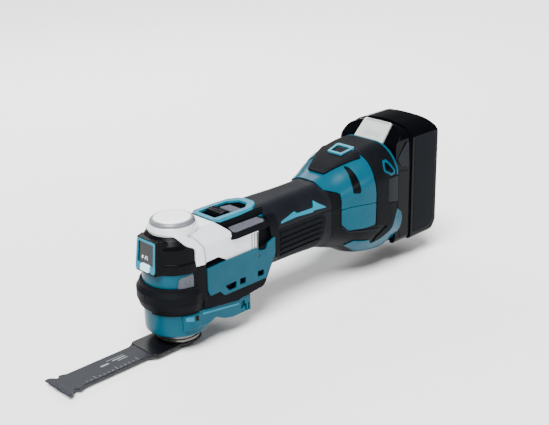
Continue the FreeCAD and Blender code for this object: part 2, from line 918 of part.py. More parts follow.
def battery():
    cover_outline = [
        (pack_front, pack_low),
        (pack_split, pack_low),
        (pack_split, pack_high),
        (pack_front, 117.9),
    ]
    top_trim = []
    for side in SIDES:
        corners = [(side * 28, 135), (side * 39, 124), (side * 39, 140), (side * 28, 140)]
        top_trim.append(along(f"top_trim_{side + 1}", corners, 240, 80))
    slot = box((240, bulb_end + 12.6), (-12, 12), (0, 92))
    grooves = []
    for side in SIDES:
        web = (24.6, 27.4) if side > 0 else (-27.4, -24.6)
        lip = (24.6, 29.4) if side > 0 else (-29.4, -24.6)
        grooves.append(box((240, 251), web, (0, 101)))
        grooves.append(box((247.6, 250.4), lip, (0, 101)))
    room = box((258, 270), (-34.5, 34.5), (19, 108))
    block = across("cover_outline", cover_outline, pack_half)
    seat = across("button_seat", button_outline(0.4, 6.5), 16)
    node("battery_cover", cut(block, slot, *grooves, room, seat, *top_trim))
    case_outline = [
        (pack_split, pack_low),
        (299.8, pack_low + 1),
        (303.7, 22),
        (pack_rear, 27),
        (pack_rear, 119),
        (302, 127),
        (290, pack_high),
        (pack_split, pack_high),
    ]
    case = across("case_outline", case_outline, pack_half)
    inside = box((260, pack_rear - 1.2), (-34.5, 34.5), (19, 116))
    node("battery_case", cut(case, inside, *top_trim))
    cells = []
    for x in (276, 295):
        for step in range(5):
            at = (x, 29.5 + step * cell_pitch)
            cells.append(rod(cell_radius, -cell_length / 2, cell_length, "Y", at))
    node("battery_cells", group(*cells))
    node("battery_button", across("button_outline", button_outline(0, 2.2), 15.6))


def button_outline(room, depth):
    """The release button's side outline: a slab along the sloping top edge of the cover."""
    along_x, along_z = 0.77, 0.638
    inward_x, inward_z = 0.638, -0.77
    low, long = (1.2 - room, 19.6 + 2 * room)
    out = 3.0 if room else -0.3
    corners = []
    for step, sink in ((0, -out), (1, -out), (1, depth), (0, depth)):
        reach = low + long * step
        corners.append(
            (
                pack_front + (reach * along_x + sink * inward_x),
                117.9 + reach * along_z + sink * inward_z,
            )
        )
    return corners


# ---------------------------------------------------------------- blade


def blade():
    outline = [(blade_bend, -mount_half + 3), (blade_bend + 3, -mount_half), (0, -mount_half)]
    outline += [(0, mount_half), (blade_bend + 3, mount_half), (blade_bend, mount_half - 3)]
    low = -0.1 - mount_thick
    plate = upward("mount_outline", outline, low, mount_thick)
    disc = rod(collar_radius, low, mount_thick)
    cup = rod(16.5, -6, 6 - 0.1)
    star = upward("star_opening", star_corners(12.5, 13.6), -10, 12)
    node("blade_mount", cut(fuse(plate, disc, cup), star))
    side = [
        (-39.5, 12),
        (-107, 12),
        (-112, 14),
        (-115, 11.5),
        (-119, 14.5),
        (-122, 16.7),
        (blade_tip, 16.7),
    ]
    teeth = []
    count = 24
    width = 2 * 16.7 / count
    for step in range(count):
        top = 16.7 - step * width
        teeth.append((blade_tip + 1.4, top - width / 2))
        if step < count - 1:
            teeth.append((blade_tip, top - width))
    mirrored = [(x, -y) for x, y in reversed(side)]
    node("saw_blade", upward("blade_outline", side + teeth + mirrored, -1.9, blade_thick))


# ---------------------------------------------------------------- the whole tool


def check_and_write():
    doc.recompute()
    for thing in doc.Objects:
        if "Invalid" in thing.State or "Error" in thing.State:
            raise RuntimeError(f"{thing.Name} ({thing.Label}) failed: {thing.State}")
    os.makedirs("parts", exist_ok=True)
    for name, thing in NODES:
        shape = thing.Shape
        if shape.isNull() or not shape.isValid() or shape.Volume <= 0:
            raise RuntimeError(f"{name} has no valid solid")
        shape.exportStep(f"parts/{name}.step")
    print(len(NODES), "sub-parts written")


gear_housing()
bearing_cap()
cap_screws()
head_bearings()
bumper_ring()
head_cover()
head_top()
lever_bracket()
lamp()
lower_brace()
front_housing()
side_panels()
switch()
lock_lever()
lever_pads()
lever_pin()
release_cam()
spindle()
clamp()
motor()
dampers()
grip()
housing_screws()
rear_housing()
rear_plate()
speed_dial()
control_module()
battery()
blade()
check_and_write()
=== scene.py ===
"""Finished look of a cordless oscillating multi tool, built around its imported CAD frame."""

import math
from contextlib import contextmanager

import bmesh
import bpy
import numpy as np
from mathutils import Matrix, Vector
from mathutils.geometry import delaunay_2d_cdt


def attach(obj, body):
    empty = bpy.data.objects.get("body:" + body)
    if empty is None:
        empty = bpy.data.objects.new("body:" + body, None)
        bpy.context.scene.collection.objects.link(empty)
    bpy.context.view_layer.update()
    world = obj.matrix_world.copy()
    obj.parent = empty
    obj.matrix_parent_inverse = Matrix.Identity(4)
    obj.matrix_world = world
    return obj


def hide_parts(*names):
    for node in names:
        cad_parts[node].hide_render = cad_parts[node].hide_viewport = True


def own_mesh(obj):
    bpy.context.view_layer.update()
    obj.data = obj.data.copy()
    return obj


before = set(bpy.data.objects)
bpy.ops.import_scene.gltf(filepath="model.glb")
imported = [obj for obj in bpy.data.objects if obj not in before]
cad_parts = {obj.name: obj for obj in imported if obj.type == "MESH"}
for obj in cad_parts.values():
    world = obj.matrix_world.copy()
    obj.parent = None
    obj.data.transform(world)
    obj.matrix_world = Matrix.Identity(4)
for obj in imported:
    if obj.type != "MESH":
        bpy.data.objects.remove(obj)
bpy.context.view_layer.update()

MM = 0.001  # every length below is in millimetres until it becomes a mesh
NEAR = 0.02  # points closer than this are one point
FLAT_ANGLE, SHARP_ANGLE = 1.0, 38.0  # degrees between faces that merge, and that keep a sharp edge
scene = bpy.context.scene

# ---------------------------------------------------------------- materials


def connect(tree, made, sockets):
    """The node made, with its sockets set or linked."""
    for key, value in sockets.items():
        target = made.inputs[key.replace("_", " ")]
        if isinstance(value, bpy.types.NodeSocket):
            tree.links.new(value, target)
        else:
            target.default_value = value
    return made


def node_link(tree, kind, **sockets):
    """A new node with its sockets set or linked."""
    return connect(tree, tree.nodes.new(kind), sockets)


def colour_mix(tree, **sockets):
    """A new colour mix node with its sockets set or linked."""
    made = tree.nodes.new("ShaderNodeMix")
    made.data_type = "RGBA"
    return connect(tree, made, sockets)


def surface(name, colour, second, rough, grain, bump, depth=0.00006, metal=0.0, coat=0.0, coat_rough=0.08,
        stretch=(1, 1, 1), edge=None, broad=60.0, glow=None, spec=0.5):
    """A node material: two tones drifting into each other, fine grain in the bump and broken-up roughness.

    edge is the colour, width in millimetres and strength of a painted highlight along the edges, which lightens
    faces near a rounded edge as if they caught the light.
    """
    made = bpy.data.materials.new(name)
    made.use_nodes = True
    tree = made.node_tree
    shader = tree.nodes["Principled BSDF"]
    where = tree.nodes.new("ShaderNodeTexCoord").outputs["Object"]
    mapped = node_link(tree, "ShaderNodeMapping", Vector=where, Scale=stretch).outputs[0]
    fine = node_link(tree, "ShaderNodeTexNoise", Vector=mapped, Scale=grain, Detail=4.0, Roughness=0.62)
    wide = node_link(tree, "ShaderNodeTexNoise", Vector=mapped, Scale=broad, Detail=3.0, Roughness=0.5)
    tone = colour_mix(tree, A=(*second, 1), B=(*colour, 1))
    spread = node_link(tree, "ShaderNodeMapRange", Value=wide.outputs["Fac"], From_Min=0.32, From_Max=0.66)
    tree.links.new(spread.outputs[0], tone.inputs["Factor"])
    shown = tone.outputs["Result"]
    # painted highlight: near a rounded edge the colour is mixed towards a lighter edge colour, standing in for
    # light caught by the edges
    if edge:
        round_normal = node_link(tree, "ShaderNodeBevel", Radius=edge[1] * MM)
        round_normal.samples = 4
        flat = tree.nodes.new("ShaderNodeNewGeometry")
        across = tree.nodes.new("ShaderNodeVectorMath")
        across.operation = "DOT_PRODUCT"
        tree.links.new(round_normal.outputs[0], across.inputs[0])
        tree.links.new(flat.outputs["Normal"], across.inputs[1])
        painted_edge_highlight = node_link(tree, "ShaderNodeMapRange", Value=across.outputs["Value"], From_Min=0.97, From_Max=0.8,
            To_Max=edge[2])
        rim = colour_mix(tree, Factor=painted_edge_highlight.outputs[0], A=shown, B=(*edge[0], 1))
        shown = rim.outputs["Result"]
    tree.links.new(shown, shader.inputs["Base Color"])
    rub = node_link(tree, "ShaderNodeMapRange", Value=fine.outputs["Fac"], From_Min=0.3, From_Max=0.7,
        To_Min=rough[0], To_Max=rough[1])
    tree.links.new(rub.outputs[0], shader.inputs["Roughness"])
    dents = node_link(tree, "ShaderNodeBump", Strength=bump, Distance=depth, Height=fine.outputs["Fac"])
    tree.links.new(dents.outputs[0], shader.inputs["Normal"])
    for socket, value in (("Metallic", metal), ("Coat Weight", coat), ("Coat Roughness", coat_rough),
            ("IOR", 1.46), ("Specular IOR Level", spec)):
        shader.inputs[socket].default_value = value
    if glow:
        shader.inputs["Emission Color"].default_value = (*glow[0], 1)
        shader.inputs["Emission Strength"].default_value = glow[1]
    return made


# each edge entry below sets the colour, width and strength of a painted edge highlight
M = {
    "teal": surface("teal_plastic", (0.0001, 0.056, 0.088), (0.0001, 0.048, 0.077), (0.26, 0.36), 1400, 0.10,
        coat=0.04, coat_rough=0.2, edge=((0.004, 0.13, 0.20), 0.35, 0.5), spec=0.12),
    "pale": surface("light_blue_plastic", (0.008, 0.15, 0.225), (0.006, 0.13, 0.195), (0.3, 0.42), 1400, 0.10,
        coat=0.04, coat_rough=0.2, edge=((0.03, 0.24, 0.34), 0.3, 0.5), spec=0.14),
    "rubber": surface("black_rubber", (0.00288, 0.003456, 0.004752), (0.00216, 0.002592, 0.0036), (0.46, 0.62),
        2600, 0.3, 0.00006, edge=((0.022, 0.027, 0.036), 0.4, 0.55), spec=0.045),
    "black": surface("black_plastic", (0.001584, 0.001872, 0.002592), (0.001224, 0.00144, 0.002016),
        (0.22, 0.36), 1500, 0.12, coat=0.03, coat_rough=0.2,
        edge=((0.014, 0.017, 0.023), 0.35, 0.55), spec=0.05),
    "grip": surface("grip_rubber", (0.0054, 0.00648, 0.009), (0.004032, 0.004896, 0.006912), (0.44, 0.58), 3000,
        0.35, 0.00007, edge=((0.026, 0.031, 0.041), 0.4, 0.5), spec=0.084),
    "slate": surface("slate_panel", (0.00612, 0.00828, 0.01188), (0.004752, 0.00648, 0.009648), (0.3, 0.4),
        2200, 0.22, edge=((0.03, 0.038, 0.052), 0.3, 0.5), spec=0.06),
    "silver": surface("silver_paint", (0.66, 0.68, 0.705), (0.60, 0.62, 0.645), (0.3, 0.38), 3200, 0.1, 0.00004,
        metal=0.1, coat=0.3, coat_rough=0.15, edge=((0.66, 0.68, 0.70), 0.3, 0.5)),
    "cap": surface("white_cap_paint", (0.80, 0.81, 0.82), (0.77, 0.78, 0.79), (0.32, 0.4), 3200, 0.08, 0.00004,
        coat=0.25, coat_rough=0.16, edge=((0.75, 0.76, 0.775), 0.3, 0.4)),
    "silver_grey": surface("grey_cast_paint", (0.17, 0.182, 0.198), (0.14, 0.15, 0.165), (0.3, 0.42), 2600, 0.2,
        metal=0.4, coat=0.15, edge=((0.38, 0.4, 0.42), 0.3, 0.6)),
    "wing": surface("textured_pad", (0.072, 0.075, 0.090), (0.050, 0.053, 0.066), (0.55, 0.75), 1500, 0.9,
        0.0002, edge=((0.08, 0.084, 0.1), 0.4, 0.4), broad=500, spec=0.15),
    "pack": surface("pack_gloss_black", (0.001008, 0.001296, 0.001944), (0.000792, 0.001008, 0.001584),
        (0.12, 0.2), 1300, 0.06, coat=0.05, coat_rough=0.08,
        edge=((0.012, 0.015, 0.022), 0.4, 0.5), spec=0.045),
    "label": surface("pack_side_slate", (0.0022, 0.0032, 0.0052), (0.0017, 0.0026, 0.0042), (0.28, 0.36), 2000,
        0.12, edge=((0.02, 0.027, 0.038), 0.4, 0.5), spec=0.03),
    "button": surface("pale_grey_button", (0.40, 0.44, 0.43), (0.36, 0.40, 0.39), (0.36, 0.48), 2400, 0.14,
        edge=((0.75, 0.78, 0.77), 0.3, 0.5)),
    "steel": surface("turned_steel", (0.5, 0.48, 0.46), (0.36, 0.345, 0.33), (0.16, 0.34), 5200, 0.3, 0.00003,
        metal=1.0, stretch=(1, 1, 7), edge=((0.8, 0.78, 0.76), 0.25, 0.5)),
    "collar": surface("browned_steel", (0.17, 0.158, 0.15), (0.09, 0.083, 0.08), (0.2, 0.36), 3800, 0.25,
        0.00004, metal=0.9, stretch=(1, 1, 9), edge=((0.45, 0.41, 0.38), 0.3, 0.6)),
    "dark_steel": surface("dark_steel", (0.09, 0.095, 0.1), (0.06, 0.065, 0.07), (0.3, 0.45), 3600, 0.25,
        metal=0.85, edge=((0.4, 0.4, 0.42), 0.2, 0.5)),
    "alloy": surface("cast_alloy", (0.42, 0.43, 0.44), (0.34, 0.35, 0.36), (0.4, 0.58), 1800, 0.6, 0.0001,
        metal=0.9, edge=((0.65, 0.66, 0.67), 0.25, 0.5)),
    "blade_black": surface("blacked_mount", (0.00216, 0.002592, 0.0036), (0.001584, 0.001872, 0.002736),
        (0.3, 0.42), 2400, 0.2, coat=0.08, edge=((0.04, 0.046, 0.058), 0.3, 0.6), spec=0.15),
    "blade": surface("slate_blade_steel", (0.0062, 0.0080, 0.0125), (0.0044, 0.0058, 0.0092), (0.34, 0.46),
        2600, 0.25, 0.00004, metal=0.15, stretch=(0.35, 4.0, 1),
        edge=((0.14, 0.16, 0.19), 0.15, 0.7), spec=0.15),
    "window": surface("smoked_window", (0.0020, 0.0027, 0.0045), (0.0015, 0.002, 0.0035), (0.10, 0.15), 900,
        0.03, coat=0.2, coat_rough=0.05, spec=0.2),
    "lens": surface("lamp_lens", (0.42, 0.70, 0.82), (0.34, 0.62, 0.76), (0.14, 0.22), 1800, 0.2, coat=0.6,
        coat_rough=0.06, glow=((0.7, 0.9, 1.0), 0.12)),
    "mark": surface("printed_white", (0.70, 0.76, 0.82), (0.6, 0.66, 0.74), (0.35, 0.45), 2500, 0.1),
    "grey_line": surface("grey_print", (0.20, 0.215, 0.235), (0.17, 0.182, 0.2), (0.35, 0.45), 2500, 0.1),
    "core": surface("core_laminations", (0.22, 0.2, 0.18), (0.15, 0.135, 0.12), (0.4, 0.55), 2400, 0.4, 0.0001,
        metal=0.8, stretch=(6, 1, 1), edge=((0.5, 0.48, 0.45), 0.2, 0.4)),
    "fan": surface("fan_plastic", (0.05, 0.053, 0.06), (0.035, 0.038, 0.044), (0.4, 0.5), 1500, 0.2,
        edge=((0.14, 0.145, 0.16), 0.3, 0.4)),
    "cell": surface("cell_sleeve", (0.02, 0.16, 0.1), (0.015, 0.12, 0.075), (0.2, 0.3), 1800, 0.1, coat=0.4,
        edge=((0.1, 0.35, 0.25), 0.3, 0.4)),
    "dial": surface("dial_plastic", (0.00432, 0.00504, 0.00684), (0.00324, 0.003888, 0.005328), (0.3, 0.42),
        1700, 0.2, edge=((0.06, 0.07, 0.09), 0.25, 0.6), spec=0.12),
}

# ---------------------------------------------------------------- mesh tools


@contextmanager
def edited(mesh):
    """A bmesh of mesh, written back afterwards."""
    shape = bmesh.new()
    shape.from_mesh(mesh)
    yield shape
    shape.to_mesh(mesh)
    shape.free()


def new_object(name, points, faces):
    """A mesh object from points in millimetres."""
    mesh = bpy.data.meshes.new(name)
    mesh.from_pydata([tuple(float(c) * MM for c in p) for p in points], [], [tuple(map(int, f)) for f in faces])
    mesh.validate()
    obj = bpy.data.objects.new(name, mesh)
    scene.collection.objects.link(obj)
    with edited(mesh) as shape:
        bmesh.ops.recalc_face_normals(shape, faces=shape.faces)
    return obj


def settle(obj):
    """Applies the modifiers of obj to its mesh."""
    bpy.context.view_layer.update()
    graph = bpy.context.evaluated_depsgraph_get()
    mesh = bpy.data.meshes.new_from_object(obj.evaluated_get(graph))
    old = obj.data
    obj.modifiers.clear()
    obj.data = mesh
    bpy.data.meshes.remove(old)
    return obj


def drop(obj):
    """Removes obj and its mesh."""
    mesh = obj.data
    bpy.data.objects.remove(obj)
    if mesh.users == 0:
        bpy.data.meshes.remove(mesh)


def combine(base, tools, operation):
    """base with each tool cut away, added or kept in common. The tools are used up."""
    for tool in tools:
        before = base.data.copy()
        for solver in ("MANIFOLD", "EXACT"):
            step = base.modifiers.new("combine", "BOOLEAN")
            step.object = tool
            step.operation = operation
            step.solver = solver
            settle(base)
            if len(base.data.polygons) > 3:
                break
            base.data = before.copy()
        bpy.data.meshes.remove(before)
        drop(tool)
    return base


def cut(base, *tools):
    """base without the space of the tools."""
    return combine(base, tools, "DIFFERENCE")


def add(base, *tools):
    """base and the tools as one body."""
    return combine(base, tools, "UNION")


def common(base, *tools):
    """What base and each of the tools share."""
    return combine(base, tools, "INTERSECT")


def clean(obj):
    """Flat regions become single faces and doubled points one, ready for a bevel."""
    with edited(obj.data) as shape:
        bmesh.ops.remove_doubles(shape, verts=shape.verts, dist=NEAR * MM)
        flat = math.radians(FLAT_ANGLE)
        bmesh.ops.dissolve_limit(shape, angle_limit=flat, verts=shape.verts, edges=shape.edges,
            delimit={"NORMAL"})


def soften(obj, width, steps=3, angle=28.0, tidy=True):
    """Rounds every edge sharper than angle."""
    if tidy:
        clean(obj)
    step = obj.modifiers.new("soften", "BEVEL")
    step.width = width * MM
    step.segments = steps
    step.limit_method = "ANGLE"
    step.angle_limit = math.radians(angle)
    step.miter_outer = "MITER_ARC"
    step.use_clamp_overlap = True
    return settle(obj)


def flipped(*pieces):
    """Moves pieces to the other side of the tool."""
    for piece in pieces:
        piece.data.transform(Matrix.Scale(-1, 4, (0, 1, 0)))
        piece.data.flip_normals()


def mirrored(obj):
    """A copy of obj on the other side of the tool."""
    twin = obj.copy()
    twin.data = obj.data.copy()
    scene.collection.objects.link(twin)
    flipped(twin)
    return twin


def joined(first, *others):
    """Separate islands in one object."""
    with edited(first.data) as shape:
        for obj in others:
            shape.from_mesh(obj.data)
    for obj in others:
        drop(obj)
    return first


def finish_piece(obj, name, look, nodes=(), body="tool_body"):
    """Names a mesh, gives it its material and shading, and makes it ride."""
    obj.name = name
    obj.data.name = name
    obj.data.materials.clear()
    obj.data.materials.append(M[look])
    for face in obj.data.polygons:
        face.use_smooth = True
        face.material_index = 0
    obj.data.set_sharp_from_angle(angle=math.radians(SHARP_ANGLE))
    even = obj.modifiers.new("even_normals", "WEIGHTED_NORMAL")
    even.keep_sharp = True
    even.weight = 60
    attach(obj, body)
    if nodes:
        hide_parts(*nodes)


# ---------------------------------------------------------------- outlines


def rounded(points, radius=1.0, steps=5):
    """A closed outline with each corner replaced by an arc. A point may carry its own radius."""
    out = []
    count = len(points)
    for i, point in enumerate(points):
        r = point[2] if len(point) > 2 else radius
        here = np.array(point[:2], float)
        back = np.array(points[i - 1][:2], float) - here
        ahead = np.array(points[(i + 1) % count][:2], float) - here
        lengths = np.linalg.norm(back), np.linalg.norm(ahead)
        back, ahead = back / lengths[0], ahead / lengths[1]
        angle = math.acos(max(-1.0, min(1.0, float(back @ ahead))))
        if r <= 0 or angle > math.pi - 0.03:
            out.append(tuple(here))
            continue
        reach = min(r / math.tan(angle / 2), lengths[0] * 0.48, lengths[1] * 0.48)
        r = reach * math.tan(angle / 2)
        middle = here + (back + ahead) / np.linalg.norm(back + ahead) * (r / math.sin(angle / 2))
        first, last = here + back * reach - middle, here + ahead * reach - middle
        start = math.atan2(first[1], first[0])
        turn = math.atan2(last[1], last[0]) - start
        turn = (turn + math.pi) % (2 * math.pi) - math.pi
        for k in range(steps + 1):
            a = start + turn * k / steps
            out.append((middle[0] + r * math.cos(a), middle[1] + r * math.sin(a)))
    return out


def circle(radius, centre, steps):
    """A closed outline round centre."""
    turns = [math.radians(360.0 * k / steps) for k in range(steps)]
    return [(centre[0] + radius * math.cos(turn), centre[1] + radius * math.sin(turn)) for turn in turns]


def span(sign, near, far):
    """Two distances from the middle plane as an ordered range, on the left for -1 and on the right for 1."""
    return sorted((sign * near, sign * far))


THROUGH = (-40, 40)  # from one side of the tool to beyond the other
AXES = {"x": (1, 2, 0), "y": (0, 2, 1), "z": (0, 1, 2)}


def slab(outline, axis, low, high, top=None):
    """An outline pushed along an axis: (y, z) along x, (x, z) along y and (x, y) along z.

    top is its outline at the high end, if that differs.
    """
    first, second, along = AXES[axis]
    points = []
    for ring, level in ((outline, low), (top or outline, high)):
        for a, b in ring:
            p = [0.0, 0.0, 0.0]
            p[first], p[second], p[along] = a, b, level
            points.append(p)
    n = len(outline)
    faces = [[(k + 1) % n, k, n + k, n + (k + 1) % n] for k in range(n)]
    faces += [list(range(n)), list(range(2 * n - 1, n - 1, -1))]
    return new_object("slab", points, faces)


def block(x, y, z):
    """A box between three pairs of limits."""
    return slab([(x[0], y[0]), (x[1], y[0]), (x[1], y[1]), (x[0], y[1])], "z", z[0], z[1])


def barrel(radius, axis, low, high, centre=(0, 0), steps=64):
    """A round bar along an axis."""
    return slab(circle(radius, centre, steps), axis, low, high)


def turned(profile, start=0.0, sweep=360.0, steps=128):
    """A closed (radius, z) outline turned about the spindle's axis."""
    full = abs(sweep) >= 360
    rings = steps if full else steps + 1
    points = []
    for k in range(rings):
        a = math.radians(start + sweep * k / steps)
        points += [(r * math.cos(a), r * math.sin(a), z) for r, z in profile]
    n = len(profile)
    faces = []
    for k in range(steps):
        here, there = k * n, (k + 1) % rings * n
        faces += [[here + i, here + (i + 1) % n, there + (i + 1) % n, there + i] for i in range(n)]
    if not full:
        faces += [list(range(n - 1, -1, -1)), [(rings - 1) * n + i for i in range(n)]]
    made = new_object("turned", points, faces)
    with edited(made.data) as shape:
        bmesh.ops.remove_doubles(shape, verts=shape.verts, dist=1e-7)
    return made


def scaled(outline, centre, factors):
    """An outline stretched or shrunk about a centre."""
    return [tuple(c + (v - c) * f for v, c, f in zip(p, centre, factors)) for p in outline]


def evened(half):
    """An outline from the half on one side of y = 0: each (x, y) point, and then its mirror image."""
    return list(half) + [(p[0], -p[1], *p[2:]) for p in reversed(half) if p[1]]


def crossed_over(half):
    """An outline of (y, z) points from the half on the right, starting from its first point's mirror image."""
    left = [(-p[0], *p[1:]) for p in reversed(half) if p[0]]
    return left[-1:] + list(half) + left[:-1]


def closed_sheet(name, upper, lower, rows):
    """A closed body between two grids of points, each of so many rows."""
    n, base = len(upper) // rows, len(upper)
    faces = []
    for i in range(rows - 1):
        for k in range(n - 1):
            a = i * n + k
            faces += [(a, a + 1, a + n + 1, a + n), (base + a, base + a + n, base + a + n + 1, base + a + 1)]
    for i in range(rows - 1):
        for k in (0, n - 1):
            a = i * n + k
            faces.append((a, a + n, base + a + n, base + a))
    for i in (0, rows - 1):
        for k in range(n - 1):
            a = i * n + k
            faces.append((a + 1, a, base + a, base + a + 1))
    return new_object(name, [*upper, *lower], faces)


# ---------------------------------------------------------------- the handle's skin

# along x: half width, lowest z, highest z, lower and upper corner radius
STATIONS = np.array(
    [
        (84, 26.8, 36.6, 96.0, 21.5, 18.5),
        (96, 26.9, 35.6, 96.2, 22.5, 19.5),
        (130, 26.6, 34.6, 96.0, 23.0, 20.5),
        (154, 27.0, 33.4, 96.2, 23.5, 21.0),
        (168, 29.6, 29.5, 99.2, 26.0, 22.5),
        (185, 34.6, 23.5, 106.0, 30.5, 25.0),
        (200, 38.4, 15.5, 111.4, 35.0, 26.5),
        (216, 40.2, 10.6, 115.2, 37.0, 27.5),
        (232, 40.4, 9.0, 117.6, 37.0, 28.0),
        (244, 39.8, 11.0, 118.2, 36.5, 28.5),
    ]
)
SEAM = 74.0  # height of the joint between the half shells
SHELL_DEPTH, SHELL_STEPS = 2.4, 56
HALF_TURN = 110.0  # (x, u) outlines run from u = 0 on the top line to u = 110 on the bottom line


def _slopes(xs, ys):
    """Slopes at the stations for a curve that doesn't overshoot them."""
    step = np.diff(ys) / np.diff(xs)
    slope = np.zeros(len(xs))
    for i in range(1, len(xs) - 1):
        if step[i - 1] * step[i] > 0:
            slope[i] = 2 * step[i - 1] * step[i] / (step[i - 1] + step[i])
    slope[0], slope[-1] = step[0], step[-1]
    return slope


SLOPES = np.array([_slopes(STATIONS[:, 0], STATIONS[:, k]) for k in range(1, 6)]).T


def station(x):
    """Half width, lowest z, highest z and corner radii at x, on a smooth curve through the stations."""
    xs = STATIONS[:, 0]
    i = int(min(max(np.searchsorted(xs, x) - 1, 0), len(xs) - 2))
    span = xs[i + 1] - xs[i]
    s = min(max((x - xs[i]) / span, 0.0), 1.0)
    a, b = STATIONS[i, 1:], STATIONS[i + 1, 1:]
    return (
        (1 + 2 * s) * (1 - s) ** 2 * a
        + s * (1 - s) ** 2 * span * SLOPES[i]
        + s * s * (3 - 2 * s) * b
        + s * s * (s - 1) * span * SLOPES[i + 1]
    )


def section(x, t):
    """(y, z) on the +y half of the section at x, with t from 0 on top to 1 underneath."""
    half, low, high, under, over = station(x)
    runs = (half - over, over * math.pi / 2, high - over - low - under, under * math.pi / 2, half - under)
    s = t * sum(runs)
    if s <= runs[0]:
        return s, high
    s -= runs[0]
    if s <= runs[1]:
        return half - over + over * math.sin(s / over), high - over + over * math.cos(s / over)
    s -= runs[1]
    if s <= runs[2]:
        return half, high - over - s
    s -= runs[2]
    if s <= runs[3]:
        return half - under + under * math.cos(s / under), low + under - under * math.sin(s / under)
    return half - under - (s - runs[3]), low


def on_skin(x, u):
    """A point on the handle's skin."""
    t = u / HALF_TURN
    side = -1
    if t < 0:
        t, side = -t, 1
    elif t > 1:
        t, side = 2 - t, 1
    y, z = section(x, t)
    return np.array((x, side * y, z))


def skin(x, u, out):
    """A point out millimetres outside the handle's skin."""
    here = on_skin(x, u)
    if out:
        normal = np.cross(on_skin(x, u + 0.6) - on_skin(x, u - 0.6), on_skin(x + 0.4, u) - on_skin(x - 0.4, u))
        here = here + normal / np.linalg.norm(normal) * out
    return here


def bisected(x, high, before):
    """(x, u) of the point on the section at x up to which before(y, z) holds."""
    low = 0.0
    for _ in range(26):
        middle = (low + high) / 2
        if before(*section(x, middle)):
            low = middle
        else:
            high = middle
    return x, low * HALF_TURN


def at_z(x, z):
    """(x, u) of the skin point at height z on the tool's left."""
    return bisected(x, 1.0, lambda across, height: height > z)


def at_y(x, y):
    """(x, u) of the skin point y millimetres left of the middle, on top."""
    return bisected(x, 0.5, lambda across, height: across < y)


def on_side(points, radius=1.0, steps=5):
    """A rounded outline in (x, u) from (x, z) points on the tool's left."""
    return rounded([at_z(*p) for p in points], radius, steps)


def both_halves(points):
    """An outline over the top: the left half's (x, u) points and their mirror image."""
    return list(points) + [(x, -u) for x, u in reversed(points) if abs(u) > 1e-6]


def densified(ring, step):
    """A closed outline with points about step apart."""
    out = []
    for (a, b), (c, d) in zip(ring, ring[1:] + ring[:1]):
        count = max(1, int(math.hypot(c - a, d - b) / step))
        out += [(a + (c - a) * k / count, b + (d - b) * k / count) for k in range(count)]
    return out


def inside(ring, points):
    """Which points lie inside a closed outline."""
    ring, points = np.array(ring), np.array(points)
    found = np.zeros(len(points), bool)
    for (a, b), (c, d) in zip(ring, np.roll(ring, -1, axis=0)):
        crossing = (b > points[:, 1]) != (d > points[:, 1])
        at = (c - a) * (points[:, 1] - b) / ((d - b) or 1e-12) + a
        found ^= crossing & (points[:, 0] < at)
    return found


def panel(outline, top, depth, holes=(), step=1.6, point=skin):
    """A closed panel that follows a surface: its outer face top above and its inner face depth below it."""
    rings = [densified(list(r), step) for r in (outline, *holes)]
    flat, edges = [], []
    for ring in rings:
        base = len(flat)
        flat += ring
        edges += [(base + i, base + (i + 1) % len(ring)) for i in range(len(ring))]
    rim = np.array(flat)
    low, high = rim.min(0), rim.max(0)
    rows = np.arange(low[1] + step / 2, high[1], step)
    grid = np.array([(a, b) for a in np.arange(low[0] + step / 2, high[0], step) for b in rows])
    if len(grid):
        keep = inside(rings[0], grid)
        for ring in rings[1:]:
            keep &= ~inside(ring, grid)
        grid = grid[keep]
        if len(grid):
            # only grid points well clear of the outlines, so that no thin triangles form
            far = np.array([np.hypot(*(rim - g).T).min() > 0.62 * step for g in grid])
            flat += [tuple(g) for g in grid[far]]
    spread, _, faces, *_ = delaunay_2d_cdt([Vector(p) for p in flat], edges, [], 0, 1e-7)
    spread = [(v.x, v.y) for v in spread]
    faces = [f for f in faces if len(f) == 3]
    middles = [tuple(np.mean([spread[i] for i in f], axis=0)) for f in faces]
    keep = inside(rings[0], middles)
    for ring in rings[1:]:
        keep &= ~inside(ring, middles)
    faces = [tuple(f) for f, k in zip(faces, keep) if k]
    count = len(spread)
    points = [point(a, b, top) for a, b in spread] + [point(a, b, -depth) for a, b in spread]
    border = {}
    for f in faces:
        for a, b in ((f[0], f[1]), (f[1], f[2]), (f[2], f[0])):
            if (b, a) in border:
                del border[(b, a)]
            else:
                border[(a, b)] = True
    walls = [(b, a, count + a, count + b) for a, b in border]
    below = [tuple(count + i for i in reversed(f)) for f in faces]
    used = sorted({i for f in (*faces, *below) for i in f})
    index = {old: new for new, old in enumerate(used)}
    return new_object(
        "panel", [points[i] for i in used], [[index[i] for i in f] for f in (*faces, *below, *walls)]
    )


def soft_panel(width, steps, *args, **more):
    """A panel with its edges rounded."""
    return soften(panel(*args, **more), width, steps, tidy=False)


def half_shell(x0, x1, edges, along=1.5):
    """A shell between two edge lines, each a function from x to u, as an even grid."""
    nx = max(4, int((x1 - x0) / along)) + 1
    grids = ([], [])
    for level, grid in zip((0.0, -SHELL_DEPTH), grids):
        for i in range(nx):
            x = x0 + (x1 - x0) * i / (nx - 1)
            a, b = edges[0](x), edges[1](x)
            grid += [skin(x, a + (b - a) * j / SHELL_STEPS, level) for j in range(SHELL_STEPS + 1)]
    return closed_sheet("shell", *grids, nx)


def ribbon(line, width, top):
    """A thin raised strip along a line of (x, u) points."""
    line = np.array(line, float)
    side = []
    for i in range(len(line)):
        way = line[min(i + 1, len(line) - 1)] - line[max(i - 1, 0)]
        way /= np.linalg.norm(way)
        side.append((-way[1], way[0]))
    side = np.array(side) * width / 2
    return panel([tuple(p) for p in line + side] + [tuple(p) for p in (line - side)[::-1]], top, 0.3, step=1.2)


# ---------------------------------------------------------------- grip


def seam_u(x):
    """u of the joint between the half shells."""
    return at_z(x, SEAM)[1]


